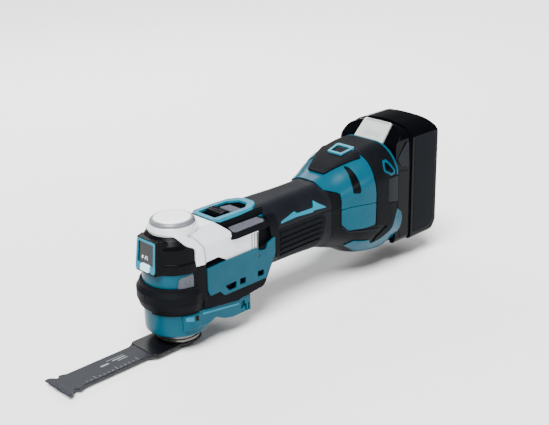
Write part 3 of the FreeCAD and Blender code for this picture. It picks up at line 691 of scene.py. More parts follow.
GAP = 0.22  # half the visible gap along a moulding joint
UPPER = (lambda x: -seam_u(x) + GAP, lambda x: seam_u(x) - GAP)
LOWER = (lambda x: seam_u(x) + GAP, lambda x: 2 * HALF_TURN - seam_u(x) - GAP)
GRIP_FRONT, GRIP_REAR, REAR_END = 84.5, 163.0, 243.0

top_shell = half_shell(GRIP_FRONT, GRIP_REAR, UPPER)
finish_piece(soften(top_shell, 0.5, 2, 50, tidy=False), "grip_top_shell", "grip", ["grip_upper"])
low_shell = half_shell(GRIP_FRONT, GRIP_REAR, LOWER)
finish_piece(soften(low_shell, 0.5, 2, 50, tidy=False), "grip_low_shell", "grip", ["grip_lower"])

# zig-zag inlay in the upper shell
inlay = on_side(((98.6, 79.2), (100.2, 81.0), (117.8, 84.9), (120.4, 82.6), (140.8, 82.1), (143.4, 87.6),
    (148.0, 84.2), (157.8, 78.5), (141.5, 79.5), (139.5, 78.4), (118.2, 79.8)), 0.5, 3)
inlay_bed = [at_z(*p) for p in ((96.6, 77.8), (99.6, 82.4), (117.9, 86.6), (121.2, 84.0), (139.6, 83.5),
    (143.0, 89.6), (149.0, 85.8), (160.6, 77.1), (142.0, 78.0), (139.8, 76.9), (118.0, 78.3))]
for side in ("left", "right"):
    bed = soft_panel(0.2, 2, rounded(inlay_bed, 0.8, 3), 0.35, 0.4, holes=[inlay], step=1.5)
    inset = soft_panel(0.3, 2, inlay, 0.62, 0.6, step=1.4)
    if side == "right":
        flipped(bed, inset)
    finish_piece(bed, f"inlay_border_{side}", "grip")
    finish_piece(inset, f"grip_inlay_{side}", "pale")

# ribbed pods low on both sides
for side in ("left", "right"):
    pod = panel(on_side(((94.5, 72.0), (153.5, 72.2), (156.2, 69.5), (152.2, 47.5), (146.0, 43.6),
        (100.0, 44.6), (93.2, 49.5), (92.4, 60.0)), 2.6, 4), 0.8, 0.6, step=1.6)
    parts = [soften(pod, 0.45, 2, tidy=False)]
    for k in range(5):
        z = 68.6 - 4.9 * k
        shape = [(97.6 + 0.35 * k, z + 1.35), (152.6 - 1.0 * k, z + 1.6), (153.6 - 1.0 * k, z + 0.2),
            (152.0 - 1.0 * k, z - 1.0), (98.4 + 0.35 * k, z - 1.25), (96.8 + 0.35 * k, z)]
        rib = panel(rounded([at_z(*p) for p in shape], 0.9, 3), 1.9, -0.5, step=1.15)
        parts.append(soften(rib, 0.42, 3, tidy=False))
    pod = joined(*parts)
    if side == "right":
        flipped(pod)
    finish_piece(pod, f"ribbed_pod_{side}", "rubber")

# ---------------------------------------------------------------- rear housing

rear_top = half_shell(GRIP_REAR, REAR_END, UPPER, along=1.6)
finish_piece(rear_top, "rear_top_shell", "rubber", ["rear_housing_upper"])
rear_low = half_shell(GRIP_REAR, REAR_END, LOWER, along=1.6)
finish_piece(rear_low, "rear_low_shell", "black", ["rear_housing_lower"])

CHEEK_FRONT, BAND_FRONT = 173.4, 212.0
vent = [at_z(*p) for p in ((190.0, 107.2), (192.6, 106.0), (193.8, 95.5), (193.8, 84.4), (185.6, 85.4),
    (186.2, 95.0))]
crown = [(161.0, 0.0), at_y(160.6, 8.0), at_y(159.6, 15.0), at_y(160.4, 20.0), at_z(165.6, 90.6),
    at_z(171.0, 88.8), at_z(CHEEK_FRONT, 87.2), at_z(CHEEK_FRONT, 72.6), at_z(BAND_FRONT - 0.8, 71.8),
    at_z(BAND_FRONT - 0.8, 80.0), at_z(BAND_FRONT - 2.6, 95.0), at_y(BAND_FRONT - 1.6, 28.0), (BAND_FRONT, 0.0)]
holes = [rounded(vent, 1.4, 4), [(x, -u) for x, u in rounded(vent, 1.4, 4)]]
cover = panel(both_halves(crown), 1.1, 0.6, holes=holes, step=1.9)
finish_piece(soften(cover, 0.5, 3, tidy=False), "rear_crown_cover", "teal")
lower_cheek = on_side(((CHEEK_FRONT, 71.9), (BAND_FRONT - 0.8, 71.1), (BAND_FRONT - 1.4, 49.6), (182.0, 50.2),
    (180.0, 51.0), (CHEEK_FRONT, 57.6)), 1.2, 3)
for side in ("left", "right"):
    cheek = soft_panel(0.45, 3, lower_cheek, 1.1, 0.6, step=1.8)
    slot_floor = soft_panel(0.1, 1, rounded(vent, 1.4, 4), 0.25, 0.3, step=1.5)
    lip = ribbon([at_z(*p) for p in ((173.6, 54.8), (181.6, 48.2), (190.0, 47.2), (200.0, 45.8),
        (216.0, 43.6))], 1.1, 0.9)
    lip = soften(lip, 0.3, 2, tidy=False)
    if side == "right":
        flipped(cheek, slot_floor, lip)
    finish_piece(cheek, f"rear_cheek_{side}", "teal")
    finish_piece(slot_floor, f"vent_floor_{side}", "black")
    finish_piece(lip, f"rear_lip_{side}", "slate")

# rubber pad in front of and beside the dial
pad = both_halves([(172.4, 0.0), at_y(172.6, 9.8), at_y(188.6, 16.2), at_y(207.4, 23.4), at_y(210.4, 19.4),
    (210.4, 0.0)])
pad = soft_panel(0.7, 3, rounded(pad, 1.0, 3), 2.9, -0.9, step=1.7)
finish_piece(pad, "dial_pad", "rubber")

# black band round the back, its thin teal rim, and the strap eyes
eye = on_side(((223.4, 101.0), (226.0, 107.0), (231.0, 107.4), (239.0, 95.8), (237.4, 93.0), (232.4, 92.6),
    (223.6, 97.8)), 1.9, 4)
inner_eye = on_side(((225.8, 101.0), (227.4, 105.0), (230.2, 105.2), (236.8, 95.8), (236.0, 94.8),
    (232.8, 94.6), (226.0, 98.8)), 1.3, 4)
BAND_LOW = 48.0
band = both_halves([(BAND_FRONT + 0.9, 0.0), at_y(BAND_FRONT - 0.8, 28.0), at_z(BAND_FRONT - 1.7, 95.0),
    at_z(BAND_FRONT, 80.0), at_z(BAND_FRONT, 71.0), at_z(BAND_FRONT - 0.4, BAND_LOW), at_z(227.4, 44.0),
    at_z(227.4, 63.6), at_z(227.6, 91.2), at_z(240.4, 91.2), at_y(239.4, 30.0), (239.8, 0.0)])
band = panel(band, 1.4, 0.5, holes=[eye, [(x, -u) for x, u in eye]], step=1.9)
finish_piece(soften(band, 0.6, 3, tidy=False), "rear_band_ring", "rubber", ["rear_band"])
rim = both_halves([(240.3, 0.0), at_y(239.9, 30.0), at_z(240.9, 91.4), at_z(242.6, 91.4), at_y(242.4, 30.0),
    (242.6, 0.0)])
finish_piece(soft_panel(0.3, 2, rim, 1.35, 0.5, step=1.3), "rear_rim_line", "teal")
for side in ("left", "right"):
    ring = soft_panel(0.35, 3, eye, 1.0, 0.4, holes=[inner_eye], step=1.2)
    hollow = soft_panel(0.05, 1, inner_eye, 0.15, 0.3, step=1.2)
    plate = on_side(((228.2, 90.6), (242.8, 90.2), (242.8, 64.4), (228.2, 67.2)), 0.7, 3)
    plate = soft_panel(0.35, 3, plate, 1.25, 0.5, step=1.7)
    foot = on_side(((228.0, 66.4), (242.6, 63.6), (241.8, 57.4), (234.8, 40.2), (220.0, 32.0), (211.4, 28.6),
        (216.0, 36.0), (227.2, 42.6)), 0.8, 3)
    foot = soft_panel(0.35, 3, foot, 1.15, 0.5, step=1.7)
    crescent = on_side(((242.8, 56.6), (248.6, 52.0), (250.2, 46.0), (250.2, 36.0), (247.0, 25.0),
        (240.0, 19.4), (222.0, 17.6), (200.0, 21.6), (182.6, 32.6), (190.0, 36.8), (206.6, 33.8), (210.4, 29.0),
        (220.4, 31.0), (235.8, 39.2)), 0.9, 3)
    crescent = soft_panel(0.4, 3, crescent, 1.0, 0.5, step=1.8)
    made = ((ring, "strap_eye", "teal"), (hollow, "strap_hollow", "black"), (plate, "rear_side_plate", "slate"),
        (foot, "rear_side_foot", "rubber"), (crescent, "rear_crescent", "teal"))
    for one, name, look in made:
        if side == "right":
            flipped(one)
        finish_piece(one, f"{name}_{side}", look)

# ---------------------------------------------------------------- head


def wrapped(radius):
    """A surface for panel(): a is the distance round the spindle from -X towards -Y, and b the height."""

    def point(a, b, out):
        turn = math.pi + a / radius
        return np.array(((radius + out) * math.cos(turn), (radius + out) * math.sin(turn), b))

    return point


BARREL = 27.8  # radius of the gear case
gear = turned(rounded([(19.4, 9.0, 0.3), (25.9, 9.0, 0.6), (27.5, 10.4, 1.2), (BARREL, 15.0, 4),
    (BARREL, 67.2, 0.8), (25.2, 67.2, 0.4), (25.2, 13.6, 3), (19.4, 11.8, 0.6)], 0.6, 4), steps=160)
cut(gear, block((14, 40), (-19, 19), (38, 70)))
finish_piece(soften(gear, 0.3, 2, 50), "gear_case", "teal", ["gear_housing"])

RING_SWEEP = (76.0, 208.0)
RING_INNER = 27.95
TAPER_FROM, TAPER_OVER, TAPER_DEPTH = 78.0, 22.0, 0.62  # degrees from the nose, degrees, share of the thickness
ring = turned(rounded([(RING_INNER, 29.6), (29.0, 29.6, 0.4), (29.4, 32.0, 0.4), (31.0, 33.0, 0.5),
    (33.2, 39.6, 0.9), (33.4, 47.6, 0.8), (30.8, 52.0, 0.6), (30.4, 54.2, 0.5), (29.0, 54.6, 0.4),
    (RING_INNER, 54.6, 0.3)], 0.3, 3), *RING_SWEEP, steps=120)
for vertex in ring.data.vertices:
    turn = abs(math.degrees(math.atan2(vertex.co.y, -vertex.co.x)))
    reach = math.hypot(vertex.co.x, vertex.co.y)
    part = min(max((turn - TAPER_FROM) / TAPER_OVER, 0.0), 1.0)
    inner = RING_INNER * MM
    thinner = (inner + (reach - inner) * (1 - TAPER_DEPTH * part * part * (3 - 2 * part))) / reach
    vertex.co.x, vertex.co.y = vertex.co.x * thinner, vertex.co.y * thinner
cut(ring, block((-36, -32.4), (-0.3, 0.3), (28, 56)))
foot_gap = cut(barrel(40, "z", 29.0, 32.3, steps=96), block((-50, 50), (-50, -3.0), (20, 40)),
    block((-8, 50), (-50, 50), (20, 40)))
finish_piece(soften(cut(ring, foot_gap), 0.35, 3, 32), "bumper_band", "rubber", ["bumper_ring"])

COVER_SWEEP = (79.5, 201.0)
lower = turned(rounded([(25.4, 66.4), (28.3, 66.4, 0.6), (28.9, 67.4, 0.6), (28.9, 74.4, 0.8),
    (28.1, 75.8, 0.5), (25.4, 75.8)], 0.3, 4), *COVER_SWEEP, steps=120)
upper = turned(rounded([(25.0, 75.2), (27.6, 75.2, 0.3), (27.6, 88.0, 2), (26.2, 91.0, 3), (23.5, 94.9, 2),
    (21.8, 96.2, 1.0), (20.8, 97.0, 0.5), (20.0, 97.3, 0.3), (17.0, 97.3, 0.3), (17.0, 95.2, 0.3),
    (21.6, 93.6, 2), (25.0, 88.0, 2)], 0.3, 5), *COVER_SWEEP, steps=120)
under_collar = [(30.0, -40.0), (1.2, -40.0), (1.2, -28.4), (-3.4, -26.4), (-6.6, -24.4), (-8.6, -22.2),
    (-10.0, -19.6), (-11.4, -16.8), (-13.6, -13.6), (-16.0, -9.4), (-17.8, -4.8), (-18.3, 0.0)]
under_collar += [(x, -y) for x, y in reversed(under_collar[:-1])]
cut(upper, slab(under_collar, "z", 84.6, 104))
finish_piece(soften(joined(upper, lower), 0.4, 3, 32), "head_shell", "black", ["head_cover"])

# textured rubber patch low on both sides of the gear case
for side, sign in (("left", 1), ("right", -1)):
    near = [(sign * BARREL * (math.atan2(-y, -x)), z) for x, y, z in ((-16.2, -22.6, 52.4),
        (-15.2, -23.3, 61.4), (-13.4, -24.4, 63.4), (-3.4, -27.6, 65.6), (-3.4, -27.6, 45.6))]
    patch = soft_panel(0.4, 3, rounded(near, 0.8, 3), 1.0, 0.2, step=1.4, point=wrapped(BARREL))
    finish_piece(patch, f"barrel_patch_{side}", "wing")

# cap
lid = turned(rounded([(0.02, 103.0), (14.8, 103.0), (15.8, 105.4, 0.4), (15.8, 107.2, 0.6), (15.2, 107.9, 0.8),
    (12.0, 108.0, 3), (0.02, 108.0)], 0.2, 4), steps=128)
finish_piece(lid, "cap_lid", "cap", ["top_cap"])
step_ring = turned(rounded([(12.8, 103.0), (19.1, 103.0, 0.2), (19.1, 104.5, 0.3), (18.5, 104.7, 0.1),
    (18.5, 105.1, 0.1), (18.9, 105.3, 0.2), (18.6, 106.0, 0.3), (16.9, 107.3, 0.5), (15.6, 107.3, 0.2),
    (15.4, 105.0), (12.8, 105.0)], 0.1, 4), steps=128)
finish_piece(soften(step_ring, 0.15, 2, 50), "cap_step", "silver_grey", ["cap_ring"])
wall = turned(rounded([(18.0, 94.0), (20.5, 94.0, 0.2), (20.3, 98.5, 3), (19.7, 103.0, 0.8), (19.2, 103.7, 0.4),
    (18.0, 103.7)], 0.2, 4), steps=128)
fill_side = [(-20.55, 92.0), (-20.55, 94.7), (-16.8, 98.3), (-10.5, 98.4), (-10.5, 92.0)]
fill = cut(slab(rounded(fill_side, 0.4, 3), "x", -0.5, 15.9), barrel(19.4, "z", 80, 112, steps=96))
tab = slab(rounded([(6.0, -16.0), (8.6, -19.4), (14.0, -17.6), (15.6, -12.6)], 1.4, 4), "z", 98.0, 101.2,
    rounded([(6.0, -16.0), (8.6, -18.8), (13.4, -17.2), (14.8, -12.6)], 1.4, 4))
cap_collar = soften(joined(wall, fill, mirrored(fill), tab, mirrored(tab)), 0.35, 3, 40)
finish_piece(cap_collar, "cap_collar", "silver")


def smooth_path(points, per=6):
    """Catmull-Rom points through a list of positions."""
    points = [np.array(p, float) for p in points]
    ends = [2 * points[0] - points[1], *points, 2 * points[-1] - points[-2]]
    out = []
    for a, b, c, d in zip(ends, ends[1:], ends[2:], ends[3:]):
        for k in range(per):
            t = k / per
            out.append(0.5 * (2 * b + (c - a) * t + (2 * a - 5 * b + 4 * c - d) * t * t
                + (3 * b - a - 3 * c + d) * t**3))
    return out + [points[-1]]


HEAD_MIDDLE = np.array((10.0, 0.0, 70.0))


def strip(outer, inner, thick, across=8, crown=0.25, lift=0.0):
    """A curved band between two edge curves, thick millimetres deep towards the inside."""
    edges = zip(smooth_path(outer), smooth_path(inner))
    rows = np.array([[o + (i - o) * k / across for k in range(across + 1)] for o, i in edges])
    along = np.gradient(rows, axis=0)
    sideways = np.gradient(rows, axis=1)
    normal = np.cross(along, sideways)
    normal /= np.linalg.norm(normal, axis=2, keepdims=True)
    if np.sum(normal * (rows - HEAD_MIDDLE)) < 0:
        normal = -normal
    hump = lift + crown * np.sin(np.pi * np.arange(across + 1) / across)[None, :, None]
    grids = [list(grid.reshape(-1, 3)) for grid in (rows + normal * hump, rows + normal * (lift - thick))]
    return closed_sheet("strip", *grids, len(rows))


def mirrored_path(half):
    """Points from the left end round the front to the right end, from the half that ends on the middle line."""
    return half + [(x, -y, z) for x, y, z in reversed(half[:-1])]


outer_edge = [(-0.6, -28.6, 71.4), (-0.6, -28.6, 78.0), (-0.6, -28.7, 84.4), (-1.9, -28.3, 87.6),
    (-5.0, -27.1, 89.3), (-8.0, -25.2, 91.2), (-9.8, -23.0, 93.6), (-11.1, -20.7, 95.5), (-12.3, -18.2, 97.0),
    (-14.6, -14.9, 98.2), (-17.5, -10.3, 98.7), (-19.6, -5.2, 98.8), (-20.2, 0.0, 98.8)]
inner_edge = [(8.3, -29.6, 71.0), (7.9, -29.6, 78.0), (7.0, -29.5, 85.4), (5.4, -28.6, 88.0),
    (4.0, -25.8, 90.7), (2.4, -22.8, 93.3), (-0.6, -20.3, 96.0), (-4.5, -19.1, 98.6), (-8.2, -17.6, 100.6),
    (-12.4, -14.6, 102.2), (-16.2, -10.4, 103.0), (-18.5, -5.2, 103.2), (-19.2, 0.0, 103.2)]
bezel = strip(mirrored_path(outer_edge), mirrored_path(inner_edge), 3.0, lift=0.7)
finish_piece(soften(bezel, 0.4, 3, 40, tidy=False), "lever_collar", "silver", ["lever_bezel"])
parting = []
for sign in (1, -1):
    line = smooth_path([(x, sign * y, z) for x, y, z in inner_edge[:9]], 5)
    seg = strip([tuple(p + np.array((0.05, sign * -0.1, 0.05))) for p in line[::5]],
        [tuple(p + np.array((0.75, sign * 0.1, 0.1))) for p in line[::5]], 3.0, across=2, crown=0.05, lift=0.6)
    parting.append(seg)
finish_piece(joined(*parting), "collar_parting", "silver_grey")

# lever: the silver saddle
CROWN, EAVE = 98.5, 86.9  # heights of its flat top and of the edges of its sloping sides
saddle_out = rounded([(-29.4, 60.0, 0), (-29.4, EAVE, 1.3), (-16.8, CROWN, 2.2), (16.8, CROWN, 2.2),
    (29.4, EAVE, 1.3), (29.4, 60.0, 0)], 1.0, 6)
saddle_in = [(-26.9, 55.0), (-26.9, EAVE - 1.6), (-15.8, CROWN - 2.6), (15.8, CROWN - 2.6),
    (26.9, EAVE - 1.6), (26.9, 55.0)]
saddle = cut(slab(saddle_out, "x", -8, 70.0), slab(saddle_in, "x", -20, 80))
side_keep = slab(rounded([(-9.0, 110.0, 0), (-9.0, 86.0, 0), (7.9, 86.0, 0), (8.9, 71.8, 0.5),
    (23.6, 72.4, 1.0), (33.6, 66.2, 1.0), (68.9, 66.5, 0.9), (69.9, 82.2, 0.9), (44.0, 82.4, 2.0),
    (40.6, 84.4, 1.5), (40.6, 110.0, 0)], 0.5, 5), "y", *THROUGH)
common(saddle, side_keep)
front_line = [(x + 0.85, y, z) for x, y, z in inner_edge[2:9]]
front_cut = [(-40.0, -60.0), (9.2, -60.0), (9.2, -31.0)] + [(x, y) for x, y, z in front_line] + [(-40.0, -17.0)]
tools = [slab(front_cut, "z", 84.0, 112.0), slab([(x, -y) for x, y in reversed(front_cut)], "z", 84.0, 112.0),
    barrel(20.7, "z", 50, 112, steps=96), block((-30, 16.2), (-20.8, 20.8), (80, 112))]
rear_cut = evened([(29.6, -14.0), (30.3, -17.0), (38.9, -25.0), (40.4, -27.4), (40.4, -31.0), (60.0, -31.0)])
tools.append(slab(rear_cut, "z", 83.0, 112.0))
cut(saddle, *tools)
soften(saddle, 0.55, 3)
finish_piece(saddle, "lever_saddle", "silver", ["lock_lever"], body="clamp_lever")
edging = []
for sign in (1, -1):
    line = [(29.9, sign * -13.6, CROWN - 0.25), (30.8, sign * -17.2, 97.9), (34.6, sign * -20.8, 94.5),
        (38.9, sign * -24.8, 90.8)]
    wide = [(x + 1.7, y, z - 0.4) for x, y, z in line]
    edging.append(strip(line if sign > 0 else wide, wide if sign > 0 else line, 1.6, across=3, crown=0.1))
mid_line = slab(rounded(evened([(29.6, -14.2), (31.4, -14.2)]), 0.3, 2), "z", CROWN - 2.4, CROWN - 0.3)
finish_piece(joined(mid_line, *edging), "saddle_edging", "rubber", body="clamp_lever")
stripes = []
for sign in (1, -1):
    for x in (61.2, 64.4):
        stripe = [(x, 67.6), (x + 1.0, 67.6), (x + 1.3, 81.6), (x + 0.3, 81.6)]
        stripes.append(slab(stripe, "y", *span(sign, 29.2, 29.5)))
    stripes.append(slab([(67.0, 67.4), (68.8, 67.4), (69.6, 81.4), (67.4, 81.4)], "y",
        *span(sign, 29.2, 29.55)))
finish_piece(joined(*stripes), "cheek_stripes", "dark_steel", body="clamp_lever")

# lever: the finger wings
WING_BEND, WING_FALL = 87.0, 0.30  # above this height a wing falls away outwards, at this slope
wings, tops = [], []
for sign in (1, -1):
    under = rounded([(38.2, -19.4), (81.4, -19.4), (83.2, -21.6), (82.8, -29.4), (80.2, -31.6), (42.6, -32.6),
        (37.4, -31.0), (37.8, -24.4)], 1.4, 5)
    over = rounded([(39.6, -19.6), (80.0, -19.6), (81.6, -21.8), (81.2, -28.2), (79.0, -30.2), (43.4, -31.0),
        (39.4, -29.4), (39.4, -24.2)], 1.4, 5)
    body = slab(under, "z", 83.3, 91.0, over)
    cut(body, slab(rounded([(77.4, -15.0), (88.0, -15.0), (88.0, -23.6), (79.2, -22.8)], 1.2, 4), "z", 78, 95))
    plate = slab(rounded([(42.4, -21.0), (75.8, -21.0), (76.8, -24.4), (78.8, -25.2), (78.0, -27.6),
        (76.4, -28.8), (44.6, -29.4), (41.8, -28.0), (42.2, -24.6)], 1.2, 4), "z", 90.2, 91.5)
    for one in (body, plate):
        for vertex in one.data.vertices:
            if vertex.co.z > WING_BEND * MM:
                vertex.co.z += (vertex.co.y * 1000 + 20.0) * WING_FALL * MM
    soften(body, 1.0, 4)
    soften(plate, 0.35, 3)
    if sign < 0:
        flipped(body, plate)
    wings.append(body)
    tops.append(plate)
finish_piece(joined(*wings), "lever_wings", "rubber", ["lever_pads"], body="clamp_lever")
finish_piece(joined(*tops), "wing_grips", "wing", body="clamp_lever")

# lamp at the nose
LEAN, LAMP_FOOT = 0.115, 68.0


def leaning(obj):
    """obj with its upper part leaning back over the lamp's foot."""
    for vertex in obj.data.vertices:
        vertex.co.x += (vertex.co.z * 1000 - LAMP_FOOT) * LEAN * MM
    return obj


nose_plan = rounded(evened([(-30.8, -12.6, 1.4), (-26.0, -14.2, 4), (-21.5, -17.2, 3), (-18.6, -21.6, 2),
    (-14.0, -21.0, 1)]), 1, 5)
nose = leaning(slab(nose_plan, "z", 66.6, 95.4))
cut(nose, barrel(25.2, "z", 60, 94, steps=96), barrel(24.2, "z", 90, 110, steps=96))
for sign in (1, -1):
    cut(nose, slab([(sign * y, z) for y, z in ((13.4, 97), (19.0, 90.5), (23.6, 84.0), (30, 84), (30, 100),
        (13.4, 100))], "x", -30, 0))
soften(nose, 0.9, 4)
cut(nose, leaning(slab(rounded(crossed_over([(11.2, 69.8), (10.2, 93.2)]), 1.2, 4), "x", -36, -28.6)))
finish_piece(nose, "lamp_hood", "black", ["led_housing"])
bezel_out = rounded(crossed_over([(12.5, 68.0, 2.2), (11.6, 94.6, 1.2)]), 1.4, 5)
bezel_in = rounded(crossed_over([(10.2, 74.4, 0.8), (9.6, 92.6, 0.8)]), 0.8, 4)
lamp_frame = cut(slab(bezel_out, "x", -31.6, -28.9), slab(bezel_in, "x", -40, -20),
    slab(rounded(crossed_over([(6.6, 67.0), (6.6, 75.6)]), 0.8, 4), "x", -40, -20))
soften(lamp_frame, 0.5, 3)
finish_piece(leaning(lamp_frame), "lamp_frame", "pale", ["led_bezel"])
pane = soften(slab(rounded(crossed_over([(10.4, 74.2), (9.8, 92.8)]), 0.8, 4), "x", -30.3, -28.6), 0.25, 2)
finish_piece(leaning(pane), "lamp_window", "window", ["led_window"])
bulb = slab(rounded(crossed_over([(5.8, 68.2, 1.4), (5.8, 74.6, 1.8)]), 1.6, 5), "x", -32.4, -28.9)
finish_piece(leaning(soften(bulb, 1.1, 4)), "lamp_lens", "lens", ["led_lens"])
marks = []
for y, z, w, h, slant in ((4.6, 79.6, 0.8, 2.6, 0.0), (1.4, 79.6, 0.35, 3.2, -0.9),
        (-1.8, 79.6, 0.35, 3.2, 0.9)):
    marks.append(leaning(slab(rounded([(y - w, z - h / 2), (y + w, z - h / 2), (y + w + slant, z + h / 2),
        (y - w + slant, z + h / 2)], 0.3, 3), "x", -30.45, -30.1)))
finish_piece(joined(*marks), "lamp_marks", "mark")

# ---------------------------------------------------------------- front housing

hull_side = rounded([(5.2, 31.4, 2), (9.7, 30.8, 2), (25.7, 27.4, 4), (38.8, 26.2, 6), (53.7, 26.6, 6),
    (75.1, 28.8, 6), (87.8, 51.8, 4), (88.4, 60.0, 2), (88.4, 67.2, 1), (5.2, 67.2, 1)], 2, 5)
hull = soften(slab(hull_side, "y", -30.0, 30.0), 2.2, 4)
hull_in = [(x * 0.93 + 3.2, z * 0.9 + 5.2) for x, z in hull_side]
neck = soften(slab(rounded([(8.6, 60.0), (85.0, 60.0), (84.4, 84.0, 6), (72.0, 81.6, 2), (34.4, 81.6, 2),
    (8.6, 84.6, 2)], 1.5, 4), "y", -26.3, 26.3), 1.0, 3)
deck_front = rounded(crossed_over([(19.2, 60.0), (19.2, 90.0, 1.5), (18.2, 95.6, 1.5),
    (16.6, 96.6, 1.0)]), 1, 4)
deck = soften(slab(deck_front, "x", 32.4, 86.0), 0.6, 3)
add(hull, neck, deck)
cut(hull, slab(hull_in, "y", -27.2, 27.2), block((12, 86), (-23.6, 23.6), (60, 78.6)),
    block((35, 84), (-15.6, 15.6), (60, 93.6)), slab(rounded(evened([(37.0, -10.8), (71.0, -11.2),
    (79.6, -5.0)]), 1, 3), "z", 80, 110), barrel(RING_INNER, "z", 20, 110, steps=128))
vents = [rounded(v, 0.7, 3) for v in ([(27.8, 44.9), (41.2, 45.3), (40.9, 38.9), (33.0, 38.9)],
    [(45.1, 45.9), (52.0, 45.4), (51.9, 39.6), (45.0, 40.2)],
    [(66.1, 45.9), (73.6, 45.4), (73.4, 40.0), (66.0, 40.4)])]
cut(hull, *[slab(v, "y", *THROUGH) for v in vents])
soften(hull, 0.3, 2, 35)
finish_piece(hull, "front_shell", "rubber", ["front_housing"])

# vertical corner strips that close the hull onto the head
for side, sign in (("left", -1), ("right", 1)):
    corner = strip([(-3.6, -28.1, 43.6), (-3.6, -28.1, 50.0), (-3.2, -28.2, 58.0), (-3.2, -28.2, 66.0),
        (-1.2, -28.3, 72.6)], [(8.6, -30.6, 38.0), (8.6, -30.6, 48.0), (8.8, -30.6, 58.0), (8.8, -30.6, 64.4),
        (8.8, -30.2, 71.2)], 2.6, crown=0.5)
    if sign > 0:
        flipped(corner)
    finish_piece(soften(corner, 0.6, 3, 40, tidy=False), f"corner_strip_{side}", "black")

# raised shoulders of the handle behind the wings
for side in ("left", "right"):
    shoulder_piece = panel(on_side(((82.4, 90.0), (82.8, 84.0), (83.6, 76.0), (86.2, 68.0), (88.0, 58.0),
        (94.0, 54.0), (94.4, 66.0), (93.4, 80.0), (92.4, 89.0)), 2.0, 4), 3.4, 0.3, step=1.5)
    soften(shoulder_piece, 1.8, 4, tidy=False)
    if side == "right":
        flipped(shoulder_piece)
    finish_piece(shoulder_piece, f"handle_shoulder_{side}", "rubber")

# teal side plates with vents
PLATE_SCREW = (67.6, 60.0)
plate_side = rounded([(9.4, 66.4), (31.9, 67.2), (67.0, 67.6), (68.6, 64.2), (76.6, 63.2), (78.8, 67.8),
    (87.8, 72.0), (87.6, 56.2), (76.4, 36.6), (27.8, 36.4), (22.2, 41.6), (11.9, 41.2), (9.4, 46.0)], 0.9, 4)
for side, sign, node in (("left", -1, "side_panel_left"), ("right", 1, "side_panel_right")):
    plate = slab(plate_side, "y", *span(sign, 29.6, 31.3))
    cut(plate, *[slab(v, "y", *THROUGH) for v in vents], barrel(1.5, "y", *THROUGH, PLATE_SCREW, 32))
    soften(plate, 0.45, 3)
    finish_piece(plate, f"side_plate_{side}", "teal", [node])
    slots = [slab(scaled(v, (46, 42.5), (1.04, 1.3)), "y", *span(sign, 26.0, 27.4)) for v in vents]
    finish_piece(joined(*slots), f"plate_vents_{side}", "black")
    screw = barrel(1.3, "y", *span(sign, 29.9, 30.7), PLATE_SCREW, 32)
    finish_piece(soften(screw, 0.25, 2), f"plate_screw_{side}", "dark_steel")

# switch frame, knob
frame_plan = rounded(evened([(31.4, -12.6, 1.5), (36.2, -17.6, 2), (60.0, -17.6, 10), (75.4, -16.8, 4),
    (84.0, -11.4, 4), (87.6, -6.4, 3)]), 2, 6)
slot_plan = rounded(evened([(37.4, -10.6), (71.0, -11.0), (79.4, -4.8)]), 1.6, 5)
switch_ring = slab(frame_plan, "z", 95.6, 98.6, scaled(frame_plan, (59, 0), (0.972, 0.93)))
cut(switch_ring, slab(slot_plan, "z", 80, 110, scaled(slot_plan, (58, 0), (1.04, 1.07))))
finish_piece(soften(switch_ring, 0.45, 3), "switch_surround", "pale", ["switch_frame"])
knob_side = rounded([(43.3, 94.0, 0.4), (71.8, 94.0, 0.4), (71.8, 95.6, 0.8), (58.6, 96.0, 2),
    (55.6, 98.4, 1.2), (53.8, 99.6, 1.0), (48.8, 100.1, 2.5), (44.9, 99.0, 1.5), (43.3, 96.4, 1)], 1, 4)
knob = soften(slab(knob_side, "y", -9.4, 9.4), 0.7, 3)
for x in (45.2, 47.2, 49.2, 51.2, 53.2):
    cut(knob, slab([(x, 98.5), (x + 0.9, 98.5), (x + 1.2, 103.0), (x - 0.3, 103.0)], "y", -8.2, 8.2))
soften(knob, 0.18, 2)
finish_piece(knob, "switch_slider", "black", ["switch_knob"], body="power_slider")
ramp = slab(rounded([(59.4, 95.4), (71.4, 95.0), (71.4, 95.9), (60.0, 97.0)], 0.3, 3), "y", -8.4, 8.4)
finish_piece(soften(ramp, 0.2, 2), "slider_ramp", "wing", body="power_slider")
tray = cut(block((35.8, 81.4), (-12.2, 12.2), (91.6, 93.7)), block((38.0, 79.0), (-9.6, 9.6), (93.0, 95.0)))
finish_piece(soften(tray, 0.4, 3), "slot_tray", "black")

notches = [soften(block((79.6, 84.2), span(sign, 17.4, 20.6), (86.0, 90.6)), 0.6, 3) for sign in (-1, 1)]
finish_piece(joined(*notches), "wing_notch_inserts", "teal")

# lower brace: two arms that wrap onto the gear case at the front and end in a ribbed foot
brace_side = rounded([(-3.0, 31.0), (24.0, 27.6), (45.5, 25.2, 2), (50.2, 26.8, 1), (59.1, 26.2, 0.8),
    (59.1, 11.4, 1), (37.5, 11.2, 2), (28.0, 13.6, 2), (19.0, 18.0, 1.5), (12.4, 15.2, 2),
    (-3.0, 15.6, 1)], 1, 4)
brace = soften(slab(brace_side, "y", -28.7, 28.7), 0.7, 3)
cut(brace, slab([(-10, 40.0), (47, 40.0), (47, 16.4), (30, 16.4), (18, 21.0), (-10, 14.0)], "y", -25.6, 25.6),
    slab([(-10, 20.0), (50, 20.0), (50, 5), (-10, 5)], "y", -24.0, 24.0), barrel(27.9, "z", 0, 40, steps=128),
    block((52.2, 54.0), (-30, 30), (8, 19)), block((55.8, 57.2), (-30, 30), (8, 19)))
for sign in (1, -1):
    cut(brace, slab(rounded([(47.6, 21.6), (52.2, 22.8), (52.2, 16.4), (47.6, 14.8)], 0.5, 3), "y",
        *span(sign, 26.4, 30)))
